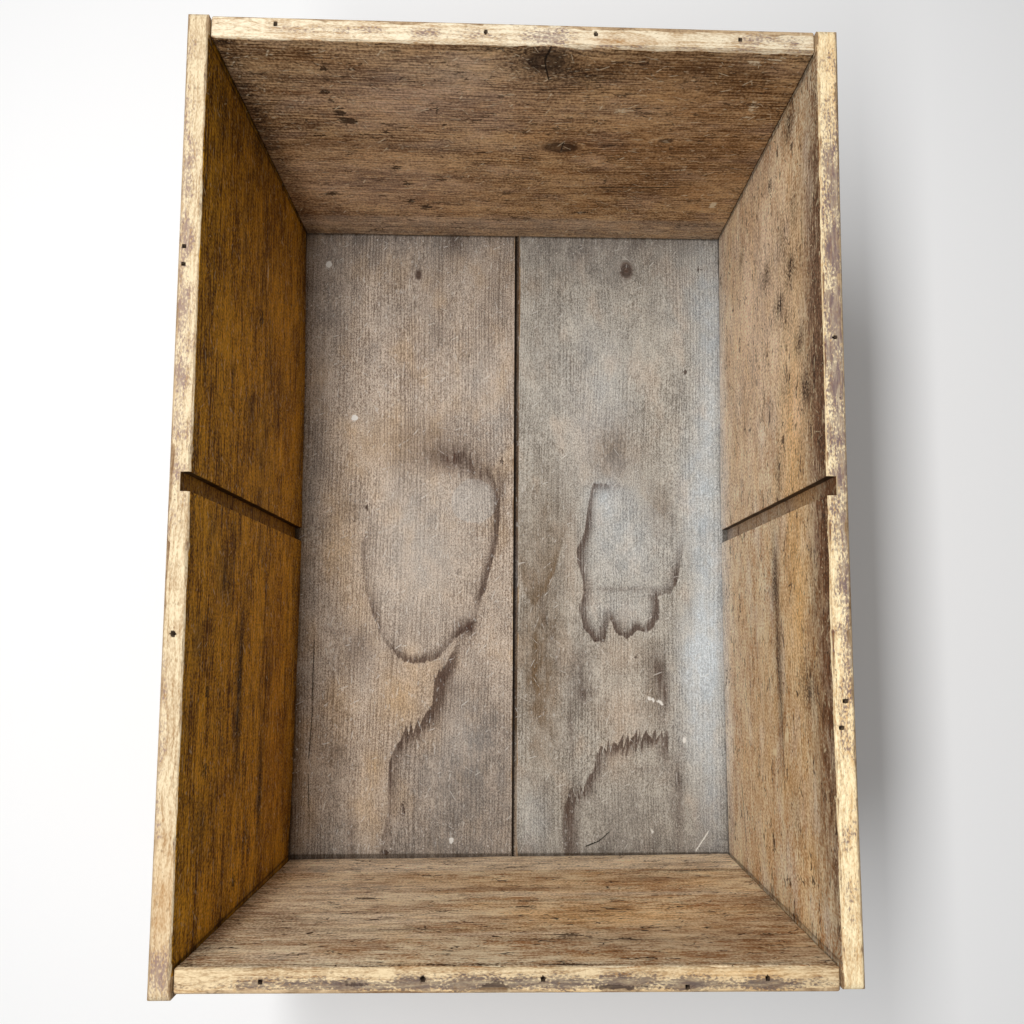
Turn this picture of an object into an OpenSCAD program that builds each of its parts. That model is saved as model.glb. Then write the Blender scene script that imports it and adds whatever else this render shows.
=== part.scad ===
// Old bottle crate of nailed pine boards, open at the top. Two ends stand between two long sides,
// nails driven through the sides hold them, and two tongued and grooved boards are nailed on from
// below as the floor. A housing across each long side once held a loose divider.
// X runs across the crate, Y along it and Z up. The origin is the middle of the underside.

/* [Inside] */
// Clear width between the two long sides
inner_width = 345; // [260:1:450]
// Clear length between the two ends
inner_length = 502; // [380:1:640]
// Depth from the rims of the long sides down to the floor
inner_depth = 300; // [200:1:360]

/* [Boards] */
// Thickness of the long sides
side_thickness = 12; // [10:0.5:18]
// Thickness of the ends
end_thickness = 13; // [10:0.5:18]
// Thickness of the floor boards
floor_thickness = 12; // [9:0.5:18]
// Depth of the rims of the ends below the rims of the long sides
end_drop = 4; // [0:0.5:10]
// Length of the left side past the outer face of each end
left_overhang = 3; // [0:0.5:8]
// Length of the right side past the outer face of each end
right_overhang = 0.5; // [0:0.5:8]
// Gap that shrinkage has opened between an end and each long side
corner_gap = 0.4; // [0.1:0.1:1.5]

/* [Wear] */
// Radius worn along both edges of every rim
rim_radius = 1.5; // [0.5:0.1:3]
// Radius worn on the upper corners of the long sides
corner_radius = 4; // [1:0.5:10]
// Radius worn along the lower outer edges of the floor
floor_edge_radius = 1.5; // [0.5:0.1:3]

/* [Divider housings] */
// Width of the housing across each long side
housing_width = 10.5; // [6:0.5:20]
// Depth of each housing
housing_depth = 5.5; // [4.5:0.5:7]

/* [Floor joint] */
// Distance of the floor joint to the right of the middle
joint_offset = 3; // [-30:1:30]
// Gap that shrinkage has opened between the floor boards
floor_gap = 3.6; // [0.5:0.1:5]
// Length of the tongue on the right board
tongue_length = 8; // [6:0.5:12]
// Thickness of the tongue
tongue_thickness = 4; // [2.5:0.5:5]
// Clearance round the tongue in the groove of the left board
tongue_clearance = 0.25; // [0.1:0.05:0.6]

/* [Nails] */
// Length of the nails through the long sides into the ends
corner_nail_length = 50; // [30:1:65]
// Length of the nails up through the floor
floor_nail_length = 42; // [25:1:60]
// Diameter of a nail's shank
shank_diameter = 2.8; // [2:0.1:4]
// Diameter of a nail's head
head_diameter = 6; // [5:0.1:8]
// Thickness of a nail's head
head_thickness = 1.2; // [0.8:0.1:2]
// Length of a nail's point
point_length = 5; // [3:0.5:8]
// Depth of a nail's head below the face of its board
head_sink = 0.4; // [0.2:0.1:1]
// Clearance round a nail in its hole
nail_clearance = 0.1; // [0.05:0.05:0.3]

/* [Nail spacing] */
// Nails up each corner
corner_nail_count = 5; // [3:1:8]
// Height of the lowest corner nail above the floor, and of the rim of the end above the highest
corner_nail_margin = 28; // [20:1:50]
// Nails from each floor board into each end
end_nail_count = 3; // [2:1:5]
// Distance kept between a floor nail and the tip of a corner nail
tip_margin = 14; // [8:1:30]
// Distance of the innermost floor nail from the floor joint
joint_margin = 30; // [20:1:60]
// Nails from a floor board into each half of a long side
side_nail_count = 2; // [2:1:4]
// Distance of the outermost of these from the inner face of an end
side_nail_margin = 50; // [30:1:80]
// Distance of the innermost of these from the divider housing
housing_margin = 60; // [20:1:90]

/* [Broken lid nail] */
// Length of the shank that is left in the right rim
stub_length = 22; // [12:1:40]
// Distance of the stub from the front end of the right side
stub_margin = 32; // [24:1:80]

/* [Hidden] */
$fn = 64;

left = -1;
right = 1;
front = -1;
back = 1;
cut_margin = 1;

side_height = inner_depth;
end_height = inner_depth - end_drop;
rim_level = floor_thickness + inner_depth;
outer_width = inner_width + 2 * side_thickness;
outer_length = inner_length + 2 * end_thickness;
end_width = inner_width - 2 * corner_gap;
side_middle = (inner_width + side_thickness) / 2;
end_middle = (inner_length + end_thickness) / 2;
right_length = outer_length + 2 * right_overhang;

left_joint_edge = joint_offset - floor_gap / 2;
right_joint_edge = joint_offset + floor_gap / 2;
groove_depth = tongue_length + tongue_clearance;
groove_height = tongue_thickness + 2 * tongue_clearance;

shank_radius = shank_diameter / 2;
head_radius = head_diameter / 2;

corner_nail_tip = inner_width / 2 + side_thickness - head_sink - corner_nail_length;
outer_nail_place = corner_nail_tip - tip_margin;
left_end_places = spread(end_nail_count, -outer_nail_place, left_joint_edge - joint_margin);
right_end_places = spread(end_nail_count, right_joint_edge + joint_margin, outer_nail_place);
half_places = spread(
    side_nail_count, housing_width / 2 + housing_margin, inner_length / 2 - side_nail_margin);
side_places = concat(-half_places, half_places);
corner_heights = spread(
    corner_nail_count, floor_thickness + corner_nail_margin,
    floor_thickness + end_height - corner_nail_margin);

dry_pine = [0.62, 0.57, 0.51];
amber_pine = [0.50, 0.34, 0.16];
tan_pine = [0.66, 0.54, 0.42];
brown_pine = [0.54, 0.43, 0.32];
rusty_iron = [0.27, 0.20, 0.17];

// Even places from one value to another, both included
function spread(count, from, to) = [for (i = [0 : count - 1]) from + (to - from) * i / (count - 1)];

// Flat outline standing on the X axis, with its two upper corners worn round
module worn_outline(width, height, radius) {
    translate([-width / 2, 0]) square([width, height - radius]);
    translate([radius - width / 2, 0]) square([width - 2 * radius, height]);
    for (corner = [-1, 1])
        translate([corner * (width / 2 - radius), height - radius]) circle(radius);
}

// Long side standing on the floor: its end profile run along Y, cut to its worn face outline
module side_board(length) {
    translate([0, 0, floor_thickness]) intersection() {
        rotate([90, 0, 0])
            linear_extrude(length, center = true)
                worn_outline(side_thickness, side_height, rim_radius);
        rotate([90, 0, 90])
            linear_extrude(side_thickness, center = true)
                worn_outline(length, side_height, corner_radius);
    }
}

// Housing for the divider, cut into the inner face of one long side from rim to floor
module divider_housing(side) {
    inner_face = side * inner_width / 2;
    translate([inner_face - housing_depth, -housing_width / 2, floor_thickness - cut_margin])
        cube([2 * housing_depth, housing_width, side_height + 2 * cut_margin]);
}

// End board standing on the floor between the long sides
module end_board(end) {
    translate([0, end * end_middle, floor_thickness])
        rotate([90, 0, 90])
            linear_extrude(end_width, center = true)
                worn_outline(end_thickness, end_height, rim_radius);
}

// Floor board profile from its outer edge, with the lower corner worn, to its edge at the joint
module floor_profile(side, joint_edge) {
    outer_edge = side * outer_width / 2;
    worn_edge = outer_edge - side * floor_edge_radius;
    between(worn_edge, joint_edge, 0, floor_thickness);
    between(outer_edge, joint_edge, floor_edge_radius, floor_thickness);
    translate([worn_edge, floor_edge_radius]) circle(floor_edge_radius);
}

// Rectangle between two places across and two heights
module between(from, to, low, high) {
    translate([min(from, to), low]) square([abs(to - from), high - low]);
}

// Profile run the length of the floor
module along_floor() {
    rotate([90, 0, 0]) linear_extrude(outer_length, center = true) children();
}

// Wire nail pointing up, its head sunk below the face of the board that it enters at zero
module nail(length) {
    translate([0, 0, head_sink]) rotate_extrude() polygon([
        [0, 0], [head_radius, 0], [head_radius, head_thickness], [shank_radius, head_thickness],
        [shank_radius, length - point_length], [0, length]
    ]);
}

// Hole that such a nail has made
module nail_hole(length) {
    head_depth = head_sink + head_thickness;
    translate([0, 0, -cut_margin])
        cylinder(r = head_radius + nail_clearance, h = head_depth + cut_margin);
    cylinder(r = shank_radius + nail_clearance, h = head_sink + length + nail_clearance);
}

// Children at the nails of one corner, pointing in from the outer face of the long side
module at_corner(side, end) {
    for (height = corner_heights)
        translate([side * outer_width / 2, end * end_middle, height])
            rotate([0, -90 * side, 0]) children();
}

// Children at the nails from the floor into one end
module at_end(end, places) {
    for (place = places) translate([place, end * end_middle, 0]) children();
}

// Children at the nails from the floor into one long side
module at_side(side) {
    for (place = side_places) translate([side * side_middle, place, 0]) children();
}

// Children at the broken nail, pointing down into the right rim
module at_stub() {
    translate([side_middle, stub_margin - right_length / 2, rim_level - head_sink])
        mirror([0, 0, 1]) children();
}

// Holes of all the nails that enter one long side
module side_nail_holes(side) {
    for (end = [front, back]) at_corner(side, end) nail_hole(corner_nail_length);
    at_side(side) nail_hole(floor_nail_length);
}

// Holes of all the nails that enter one end
module end_nail_holes(end) {
    for (side = [left, right]) at_corner(side, end) nail_hole(corner_nail_length);
    at_end(end, concat(left_end_places, right_end_places)) nail_hole(floor_nail_length);
}

// Holes of all the nails that pass through one floor board
module floor_nail_holes(side, places) {
    for (end = [front, back]) at_end(end, places) nail_hole(floor_nail_length);
    at_side(side) nail_hole(floor_nail_length);
}

module left_floor_board() {
    color(dry_pine) difference() {
        along_floor() difference() {
            floor_profile(left, left_joint_edge);
            translate([left_joint_edge - groove_depth, (floor_thickness - groove_height) / 2])
                square([2 * groove_depth, groove_height]);
        }
        floor_nail_holes(left, left_end_places);
    }
}

module right_floor_board() {
    color(dry_pine) difference() {
        along_floor() {
            floor_profile(right, right_joint_edge);
            translate([right_joint_edge - tongue_length, (floor_thickness - tongue_thickness) / 2])
                square([2 * tongue_length, tongue_thickness]);
        }
        floor_nail_holes(right, right_end_places);
    }
}

module back_end() {
    color(brown_pine) difference() {
        end_board(back);
        end_nail_holes(back);
    }
}

module front_end() {
    color(tan_pine) difference() {
        end_board(front);
        end_nail_holes(front);
    }
}

module left_side() {
    color(amber_pine) difference() {
        translate([-side_middle, 0, 0]) side_board(outer_length + 2 * left_overhang);
        divider_housing(left);
        side_nail_holes(left);
    }
}

module right_side() {
    color(tan_pine) difference() {
        translate([side_middle, 0, 0]) side_board(right_length);
        divider_housing(right);
        side_nail_holes(right);
        at_stub() translate([0, 0, -head_sink - cut_margin])
            cylinder(r = shank_radius + nail_clearance, h = head_sink + cut_margin + stub_length);
    }
}

module corner_nails(side, end) {
    color(rusty_iron) at_corner(side, end) nail(corner_nail_length);
}

module back_left_corner_nails() { corner_nails(left, back); }

module back_right_corner_nails() { corner_nails(right, back); }

module front_left_corner_nails() { corner_nails(left, front); }

module front_right_corner_nails() { corner_nails(right, front); }

module end_floor_nails(end) {
    color(rusty_iron) at_end(end, concat(left_end_places, right_end_places)) nail(floor_nail_length);
}

module back_floor_nails() { end_floor_nails(back); }

module front_floor_nails() { end_floor_nails(front); }

module side_floor_nails(side) {
    color(rusty_iron) at_side(side) nail(floor_nail_length);
}

module left_floor_nails() { side_floor_nails(left); }

module right_floor_nails() { side_floor_nails(right); }

// Shank of a lid nail that broke off just below the rim, its point still in the wood
module broken_lid_nail() {
    color(rusty_iron) at_stub() rotate_extrude() polygon([
        [0, 0], [shank_radius, 0], [shank_radius, stub_length - point_length], [0, stub_length]
    ]);
}

left_floor_board();
right_floor_board();
back_end();
front_end();
left_side();
right_side();
back_left_corner_nails();
back_right_corner_nails();
front_left_corner_nails();
front_right_corner_nails();
back_floor_nails();
front_floor_nails();
left_floor_nails();
right_floor_nails();
broken_lid_nail();
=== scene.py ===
"""Looks of an old wooden bottle crate: six worn pine boards held together by wire nails.

Lengths are in millimetres until a mesh is made. Each board is drawn in three directions of its own: along its
grain, across its face, and in depth from the face that shows inside the crate to the opposite one.
"""
import math

import bmesh
import bpy
import numpy as np
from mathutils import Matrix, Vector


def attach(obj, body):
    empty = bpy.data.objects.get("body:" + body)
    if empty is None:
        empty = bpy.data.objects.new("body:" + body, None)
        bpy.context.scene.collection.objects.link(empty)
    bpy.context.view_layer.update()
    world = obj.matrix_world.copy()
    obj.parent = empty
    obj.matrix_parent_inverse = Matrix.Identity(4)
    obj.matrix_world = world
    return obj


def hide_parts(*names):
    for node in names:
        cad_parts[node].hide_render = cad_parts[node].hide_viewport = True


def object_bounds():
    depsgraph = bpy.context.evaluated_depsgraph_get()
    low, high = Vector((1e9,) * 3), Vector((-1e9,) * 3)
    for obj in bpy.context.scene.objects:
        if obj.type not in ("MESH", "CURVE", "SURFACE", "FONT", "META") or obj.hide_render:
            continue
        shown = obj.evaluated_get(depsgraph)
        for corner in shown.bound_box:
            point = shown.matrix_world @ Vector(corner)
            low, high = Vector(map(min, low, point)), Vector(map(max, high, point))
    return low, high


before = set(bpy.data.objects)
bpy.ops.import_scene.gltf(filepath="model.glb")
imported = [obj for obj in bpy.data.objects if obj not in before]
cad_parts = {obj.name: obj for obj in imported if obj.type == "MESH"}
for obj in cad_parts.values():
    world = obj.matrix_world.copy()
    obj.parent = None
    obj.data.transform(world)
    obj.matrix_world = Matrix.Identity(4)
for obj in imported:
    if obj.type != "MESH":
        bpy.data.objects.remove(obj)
cad_low, cad_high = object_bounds()

# Left floor board: a wide bare pine board, greyed and water stained, laid under the walls. It was planed and
# grooved along its right edge for the tongue of its neighbour, and it is nailed up into the walls from below.
MM = 0.001
FACE_STEP = 1.7
BACK_STEP = 4.0
EDGE_STEP = 1.0
GROOVE_STEP = 2.0
STATION_STEP = 1.8
ROUND_PLACES = np.array([0.0, 0.3, 0.65])
ROUND_INSETS = np.array([1.0, 0.65, 0.3])
LATTICE_SIZE = 64
RING_WANDER = ((3.5, 190.0, 90.0), (1.0, 70.0, 40.0))
KNOT_HEART = 0.1
KNOT_SPREAD = 0.7
KNOT_FAR = 4.0
LINE_FAR = 40.0
PALE_LINE = 100.0
FAR = 60.0
TINY = 1e-9
PROBE = 1.0
BOARD_SHARP = math.radians(38.0)


def places(low, high, step, radius, extra=()):
    """Places from low to high about one step apart, closer near both ends, where an edge is rounded."""
    near = radius * ROUND_PLACES
    count = max(2, round((high - low - 2.0 * radius) / step) + 1)
    middle = np.linspace(low + radius, high - radius, count)
    return np.unique(np.concatenate([low + near, middle, high - near, np.asarray(extra, float)]))


def section(corners, steps, radius):
    """Points (across, depth) round a closed section, and how far round from the first corner each one is.
    The last side counts backwards from the first corner, so that it is below zero on the inside face."""
    points, lengths, total = [], [], 0.0
    for index, (start, step) in enumerate(zip(corners, steps)):
        end = corners[(index + 1) % len(corners)]
        length = math.dist(start, end)
        along = places(0.0, length, step, min(radius, length / 3.0))[:-1]
        points.append(np.outer(1.0 - along / length, start) + np.outer(along / length, end))
        lengths.append(total + along)
        total += length
    lengths[-1] = lengths[-1] - total
    return np.concatenate(points), np.concatenate(lengths)


def carry(points, stations, radius):
    """Carries a section along a board: along, across and depth, one row for each station, one column for
    each point. Three more rows at each end draw the section in, and every outer edge is rounded: a point is
    pulled to the radius from the box that lies one radius inside the board."""
    insets = radius * ROUND_INSETS
    more = len(insets)
    drawn = np.concatenate([insets, np.zeros(len(stations)), insets[::-1]])[:, None]
    along = np.concatenate([np.full(more, stations[0]), stations, np.full(more, stations[-1])])[:, None]
    low, high = points.min(0), points.max(0)
    across = np.clip(points[None, :, 0], low[0] + drawn, high[0] - drawn)
    depth = np.clip(points[None, :, 1], low[1] + drawn, high[1] - drawn)
    grid = np.stack([along + 0.0 * across, across, depth], -1)
    box_low = np.array([stations[0], *low]) + radius
    box_high = np.array([stations[-1], *high]) - radius
    inner = np.clip(grid, box_low, box_high)
    reach = np.linalg.norm(grid - inner, axis=-1, keepdims=True)
    grid = inner + (grid - inner) * np.minimum(1.0, radius / np.maximum(reach, TINY))
    return grid[..., 0], grid[..., 1], grid[..., 2]


def lumps(first, second, seed):
    """Smooth random heights from -1 to 1: random values on a lattice of whole numbers, eased between them."""
    table = np.random.default_rng(seed).uniform(-1.0, 1.0, (LATTICE_SIZE, LATTICE_SIZE))
    first_cell, second_cell = np.floor(first).astype(int), np.floor(second).astype(int)
    first_part, second_part = first - first_cell, second - second_cell
    first_part = first_part * first_part * (3.0 - 2.0 * first_part)
    second_part = second_part * second_part * (3.0 - 2.0 * second_part)
    row, next_row = first_cell % LATTICE_SIZE, (first_cell + 1) % LATTICE_SIZE
    column, next_column = second_cell % LATTICE_SIZE, (second_cell + 1) % LATTICE_SIZE
    start = table[row, column] * (1.0 - second_part) + table[row, next_column] * second_part
    end = table[next_row, column] * (1.0 - second_part) + table[next_row, next_column] * second_part
    return start * (1.0 - first_part) + end * first_part


def growth_rings(along, across, depth, lean, seed, knots):
    """Distance across the year rings: flat rings that lean through the board and wander along it, and part
    round each knot (along, across, radius, stretch) as water parts round a stone. Also the distance from the
    nearest knot's middle, in knot radii."""
    ring = across
    nearest = np.full(along.shape, KNOT_FAR)
    for middle, height, radius, stretch in knots:
        reach = np.hypot((along - middle) / stretch, across - height) / radius
        ring = height + (ring - height) * np.maximum(0.0, 1.0 - 1.0 / np.maximum(reach, KNOT_HEART) ** 2)
        ring = ring + np.where(reach < 1.0, KNOT_SPREAD * radius * reach, 0.0)
        nearest = np.minimum(nearest, reach)
    wander = sum(
        height * lumps(along / length, across / width, seed + step)
        for step, (height, length, width) in enumerate(RING_WANDER))
    return ring + wander + lean * depth, nearest


def patches(along, across, spots):
    """Sum of soft oval spots (along, across, half length, half width, amount)."""
    total = np.zeros(along.shape)
    for middle, height, length, width, amount in spots:
        total += amount * np.exp(-(((along - middle) / length) ** 2 + ((across - height) / width) ** 2))
    return total


def lines_near(along, across, lines):
    """For thin lines (along, across, along, across, half width): the distance to the side of the nearest line
    in half widths, with its sign, and how far past the line's ends the point lies. A half width below zero is
    that of a pale line, and the distance past its ends then counts from PALE_LINE."""
    side = np.full(along.shape, LINE_FAR)
    past = np.full(along.shape, LINE_FAR)
    for along_a, across_a, along_b, across_b, half in lines:
        length = math.hypot(along_b - along_a, across_b - across_a)
        unit = ((along_b - along_a) / length, (across_b - across_a) / length)
        on = (along - along_a) * unit[0] + (across - across_a) * unit[1]
        off = ((across - across_a) * unit[0] - (along - along_a) * unit[1]) / abs(half)
        beyond = np.maximum(0.0, np.maximum(-on, on - length))
        closer = np.abs(off) + beyond < np.abs(side) + past % PALE_LINE
        side = np.where(closer, off, side)
        past = np.where(closer, np.minimum(beyond, LINE_FAR) + (PALE_LINE if half < 0.0 else 0.0), past)
    return side, past


def outline_distance(along, across, corners):
    """Distance to a closed outline of (along, across) corners, below zero inside it."""
    least = np.full(along.shape, FAR)
    inside = np.zeros(along.shape, bool)
    for (along_a, across_a), (along_b, across_b) in zip(corners, corners[1:] + corners[:1]):
        run, rise = along_b - along_a, across_b - across_a
        share = ((along - along_a) * run + (across - across_a) * rise) / (run * run + rise * rise)
        share = np.clip(share, 0.0, 1.0)
        reach = np.hypot(along - along_a - share * run, across - across_a - share * rise)
        least = np.minimum(least, reach)
        crosses = (across_a > across) != (across_b > across)
        inside ^= crosses & (along < run * (across - across_a) / (rise if rise else TINY) + along_a)
    return np.where(inside, -least, least)


def squareness(along, across, corners):
    """How squarely the nearest part of a closed outline crosses the grain: 1 straight across, 0 along it."""
    ahead = outline_distance(along + PROBE, across, corners)
    behind = outline_distance(along - PROBE, across, corners)
    return np.clip(np.abs(ahead - behind) / (2.0 * PROBE), 0.0, 1.0)


def paint(piece, name, first, second, third):
    """Stores three values at each point of a piece, for its material."""
    layer = piece.data.attributes.new(name, "FLOAT_VECTOR", "POINT")
    values = np.stack(np.broadcast_arrays(first, second, third), -1)
    layer.data.foreach_set("vector", values.astype(np.float32).ravel())


def tube_faces(index):
    """Faces of a grid of point numbers that closes round: four-sided between rows, and one over each end."""
    ahead = np.roll(index, -1, 1)
    quads = np.stack([index[:-1], ahead[:-1], ahead[1:], index[1:]], -1).reshape(-1, 4)
    return quads.tolist() + [index[0].tolist(), index[-1].tolist()]


def mesh_piece(name, points, faces, sharp_angle):
    """A piece from points in metres and faces, turned outwards and shaded smooth up to an angle."""
    data = bpy.data.meshes.new(name)
    data.from_pydata(points.tolist(), [], faces)
    shell = bmesh.new()
    shell.from_mesh(data)
    bmesh.ops.recalc_face_normals(shell, faces=shell.faces)
    shell.to_mesh(data)
    shell.free()
    data.polygons.foreach_set("use_smooth", np.ones(len(data.polygons), bool))
    data.set_sharp_from_angle(angle=sharp_angle)
    piece = bpy.data.objects.new(name, data)
    bpy.context.scene.collection.objects.link(piece)
    return piece


def solid(name, x, y, z):
    """A closed board from a grid of points, kept inside the box of the CAD model."""
    points = np.stack([x, y, z], -1).reshape(-1, 3) * MM
    points = np.clip(points, np.array(cad_low), np.array(cad_high))
    index = np.arange(x.size).reshape(x.shape)
    return mesh_piece(name, points, tube_faces(index), BOARD_SHARP)


def settle(piece, node, material):
    """Gives a piece its material and lets it stand for its CAD node."""
    piece.data.materials.append(material)
    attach(piece, "root")
    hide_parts(node)


def tint(red, green, blue):
    """A colour from its sRGB display values, 0 to 255, as the linear values that shaders use."""
    display = np.array([red, green, blue]) / 255.0
    linear = np.where(display <= 0.04045, display / 12.92, ((display + 0.055) / 1.055) ** 2.4)
    return (*linear.tolist(), 1.0)


def feed(entry, value):
    """Sets an input of a node, or joins an output to it."""
    if isinstance(value, Wire):
        value.tree.links.new(value.socket, entry)
    else:
        entry.default_value = value


class Wire:
    """An output of a shader node. Adding, multiplying and so on puts in the math node that does it."""
    NOISE_RANGE = (0.3, 0.7)
    MIX_COLOURS = (6, 7)
    MIX_RESULT = 2

    def __init__(self, socket):
        self.socket = socket
        self.tree = socket.id_data

    def math(self, operation, other=0.0):
        made = self.tree.nodes.new("ShaderNodeMath")
        made.operation = operation
        feed(made.inputs[0], self)
        feed(made.inputs[1], other)
        return Wire(made.outputs[0])

    def __add__(self, other):
        return self.math("ADD", other)

    def __sub__(self, other):
        return self.math("SUBTRACT", other)

    def __mul__(self, other):
        return self.math("MULTIPLY", other)

    def __truediv__(self, other):
        return self.math("DIVIDE", other)

    def __abs__(self):
        return self.math("ABSOLUTE")

    def most(self, other):
        """The larger of two values."""
        return self.math("MAXIMUM", other)

    def rise(self, low, high):
        """0 below low, 1 above high and eased between."""
        made = self.tree.nodes.new("ShaderNodeMapRange")
        made.interpolation_type = "SMOOTHSTEP"
        feed(made.inputs["Value"], self)
        feed(made.inputs["From Min"], low)
        feed(made.inputs["From Max"], high)
        return Wire(made.outputs[0])

    def fall(self, low, high):
        """1 below low, 0 above high and eased between."""
        return self.rise(low, high) * -1.0 + 1.0

    def parts(self):
        """The three parts of a vector or colour."""
        made = self.tree.nodes.new("ShaderNodeSeparateXYZ")
        feed(made.inputs[0], self)
        return [Wire(out) for out in made.outputs]

    def stretched(self, *factors):
        """A vector with its three parts multiplied."""
        made = self.tree.nodes.new("ShaderNodeVectorMath")
        made.operation = "MULTIPLY"
        feed(made.inputs[0], self)
        feed(made.inputs[1], factors)
        return Wire(made.outputs[0])

    def noise(self, detail):
        """Soft random values, about 0.5 on average, at this vector."""
        made = self.tree.nodes.new("ShaderNodeTexNoise")
        feed(made.inputs["Vector"], self)
        feed(made.inputs["Scale"], 1.0)
        feed(made.inputs["Detail"], detail)
        return Wire(made.outputs["Fac"])

    def spread(self):
        """Noise drawn out from its usual range to the whole of 0 to 1."""
        return self.rise(*self.NOISE_RANGE)

    def blend(self, first, second):
        """The first colour where this is 0 and the second where it is 1."""
        made = self.tree.nodes.new("ShaderNodeMix")
        made.data_type = "RGBA"
        feed(made.inputs[0], self)
        for place, colour in zip(self.MIX_COLOURS, (first, second)):
            feed(made.inputs[place], colour)
        return Wire(made.outputs[self.MIX_RESULT])


def joined(first, second, third):
    """A vector from three wires or numbers, the first a wire."""
    made = first.tree.nodes.new("ShaderNodeCombineXYZ")
    for entry, value in zip(made.inputs, (first, second, third)):
        feed(entry, value)
    return Wire(made.outputs[0])


def scaled(colour, factor):
    """A colour made lighter or darker."""
    made = colour.tree.nodes.new("ShaderNodeVectorMath")
    made.operation = "SCALE"
    feed(made.inputs[0], colour)
    feed(made.inputs["Scale"], factor)
    return Wire(made.outputs[0])


def new_group(name, inputs, outputs):
    """An empty node group: its inputs as wires, and the entries of its outputs. Capital letters give the
    kinds: V for a vector, C for a colour, F for a number."""
    kinds = {"V": "NodeSocketVector", "C": "NodeSocketColor", "F": "NodeSocketFloat"}
    tree = bpy.data.node_groups.new(name, "ShaderNodeTree")
    for way, sockets in (("INPUT", inputs), ("OUTPUT", outputs)):
        for label, kind in sockets.items():
            tree.interface.new_socket(label, in_out=way, socket_type=kinds[kind])
    entry = tree.nodes.new("NodeGroupInput")
    leave = tree.nodes.new("NodeGroupOutput")
    return tree, {label: Wire(entry.outputs[label]) for label in inputs}, leave.inputs


def use_group(tree, group, inputs):
    """Puts a node group into a tree and returns its outputs as wires."""
    made = tree.nodes.new("ShaderNodeGroup")
    made.node_tree = group
    for label, value in inputs.items():
        feed(made.inputs[label], value)
    return {out.name: Wire(out) for out in made.outputs}


def late_wood(phase):
    """The dark late wood of a year from its phase: it comes slowly and ends sharply."""
    return phase.rise(0.3, 0.85) * phase.fall(0.88, 1.0)


# Year rings: a sharp dark line of late wood at the end of each pale year, with years of uneven width, and
# fine fibres along the grain.
RING_WOBBLE = 4.0
YEAR_UNEVENNESS = 2.6
pine_grain, given, leaves = new_group(
    "pine_grain", {"Grain": "V", "Spacing": "F", "Fineness": "F"}, {"Late": "F", "Fibre": "F"})
grain_along, ring, grain_depth = given["Grain"].parts()
wobble = given["Grain"].stretched(0.008, 0.1, 0.1).noise(0.0)
ring = ring + (wobble - 0.5) * RING_WOBBLE
uneven = joined(ring * 0.13, 3.7, 0.0).noise(1.0)
phase = (ring / given["Spacing"] + uneven * YEAR_UNEVENNESS).math("FRACT")
feed(leaves["Late"], late_wood(phase))
fibre_place = joined(grain_along * 0.11, ring * given["Fineness"], grain_depth * given["Fineness"])
feed(leaves["Fibre"], fibre_place.noise(3.0).rise(0.28, 0.72))

# Scattered marks: one short straight mark in each cell of a random pattern, turned by up to a given angle, in
# a given share of the cells.
LEAST_LENGTH = 0.4
LEAST_WIDTH = 0.6
scattered_marks, given, leaves = new_group("scattered_marks", {
    "Place": "V", "Cell length": "F", "Cell width": "F", "Length": "F", "Width": "F", "Turn": "F",
    "Share": "F"}, {"Mask": "F"})
place_along, place_across = given["Place"].parts()[:2]
cell_along, cell_across = place_along / given["Cell length"], place_across / given["Cell width"]
cells = given["Place"].tree.nodes.new("ShaderNodeTexVoronoi")
cells.voronoi_dimensions = "2D"
feed(cells.inputs["Vector"], joined(cell_along, cell_across, 0.0))
feed(cells.inputs["Scale"], 1.0)
centre_along, centre_across = Wire(cells.outputs["Position"]).parts()[:2]
chance_turn, chance_length, chance_share = Wire(cells.outputs["Color"]).parts()
off_along = (cell_along - centre_along) * given["Cell length"]
off_across = (cell_across - centre_across) * given["Cell width"]
angle = (chance_turn - 0.5) * 2.0 * given["Turn"]
turn_cos, turn_sin = angle.math("COSINE"), angle.math("SINE")
mark_length = given["Length"] * (chance_length + LEAST_LENGTH)
mark_width = given["Width"] * (chance_turn + LEAST_WIDTH)
on_mark = abs(off_along * turn_cos + off_across * turn_sin) / mark_length
off_mark = abs(off_across * turn_cos - off_along * turn_sin) / mark_width
mark = on_mark.fall(0.4, 1.0) * off_mark.fall(0.3, 1.0)
feed(leaves["Mask"], mark * chance_share.math("LESS_THAN", given["Share"]))

# Dried water: what lies inside an outline, and the dirt that the drying edge left, darkest at the outline,
# drawn out into teeth along the grain and fading inwards in streaks.
TOOTH_PITCH = 2.6
TOOTH_WANDER = 14.0
EDGE_WANDER = 4.0
ABOVE_ZERO = 400.0
dried_water, given, leaves = new_group("dried_water", {
    "Distance": "F", "Square": "F", "Place": "V", "Teeth": "F", "Fade": "F", "Body": "F"},
    {"Inside": "F", "Edge": "F"})
place_along, place_across = given["Place"].parts()[:2]
tooth_shift = given["Place"].stretched(0.03, 0.11, 0.0).noise(1.0)
tooth_height = given["Place"].stretched(0.02, 0.07, 0.0).noise(1.0).rise(0.25, 0.7)
teeth = (place_across + tooth_shift * TOOTH_WANDER + ABOVE_ZERO).math("PINGPONG", TOOTH_PITCH)
teeth = teeth - TOOTH_PITCH / 2.0
teeth = teeth * given["Teeth"] * tooth_height * given["Square"].rise(0.3, 0.9)
distance = given["Distance"] + teeth + (tooth_shift - 0.5) * EDGE_WANDER
drawn = joined(place_along * 0.035, place_across * 0.8, 7.0).noise(1.0).spread()
drying = distance.rise(given["Fade"] * -1.0, 0.0)
feed(leaves["Inside"], distance.fall(-1.5, 0.5))
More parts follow.
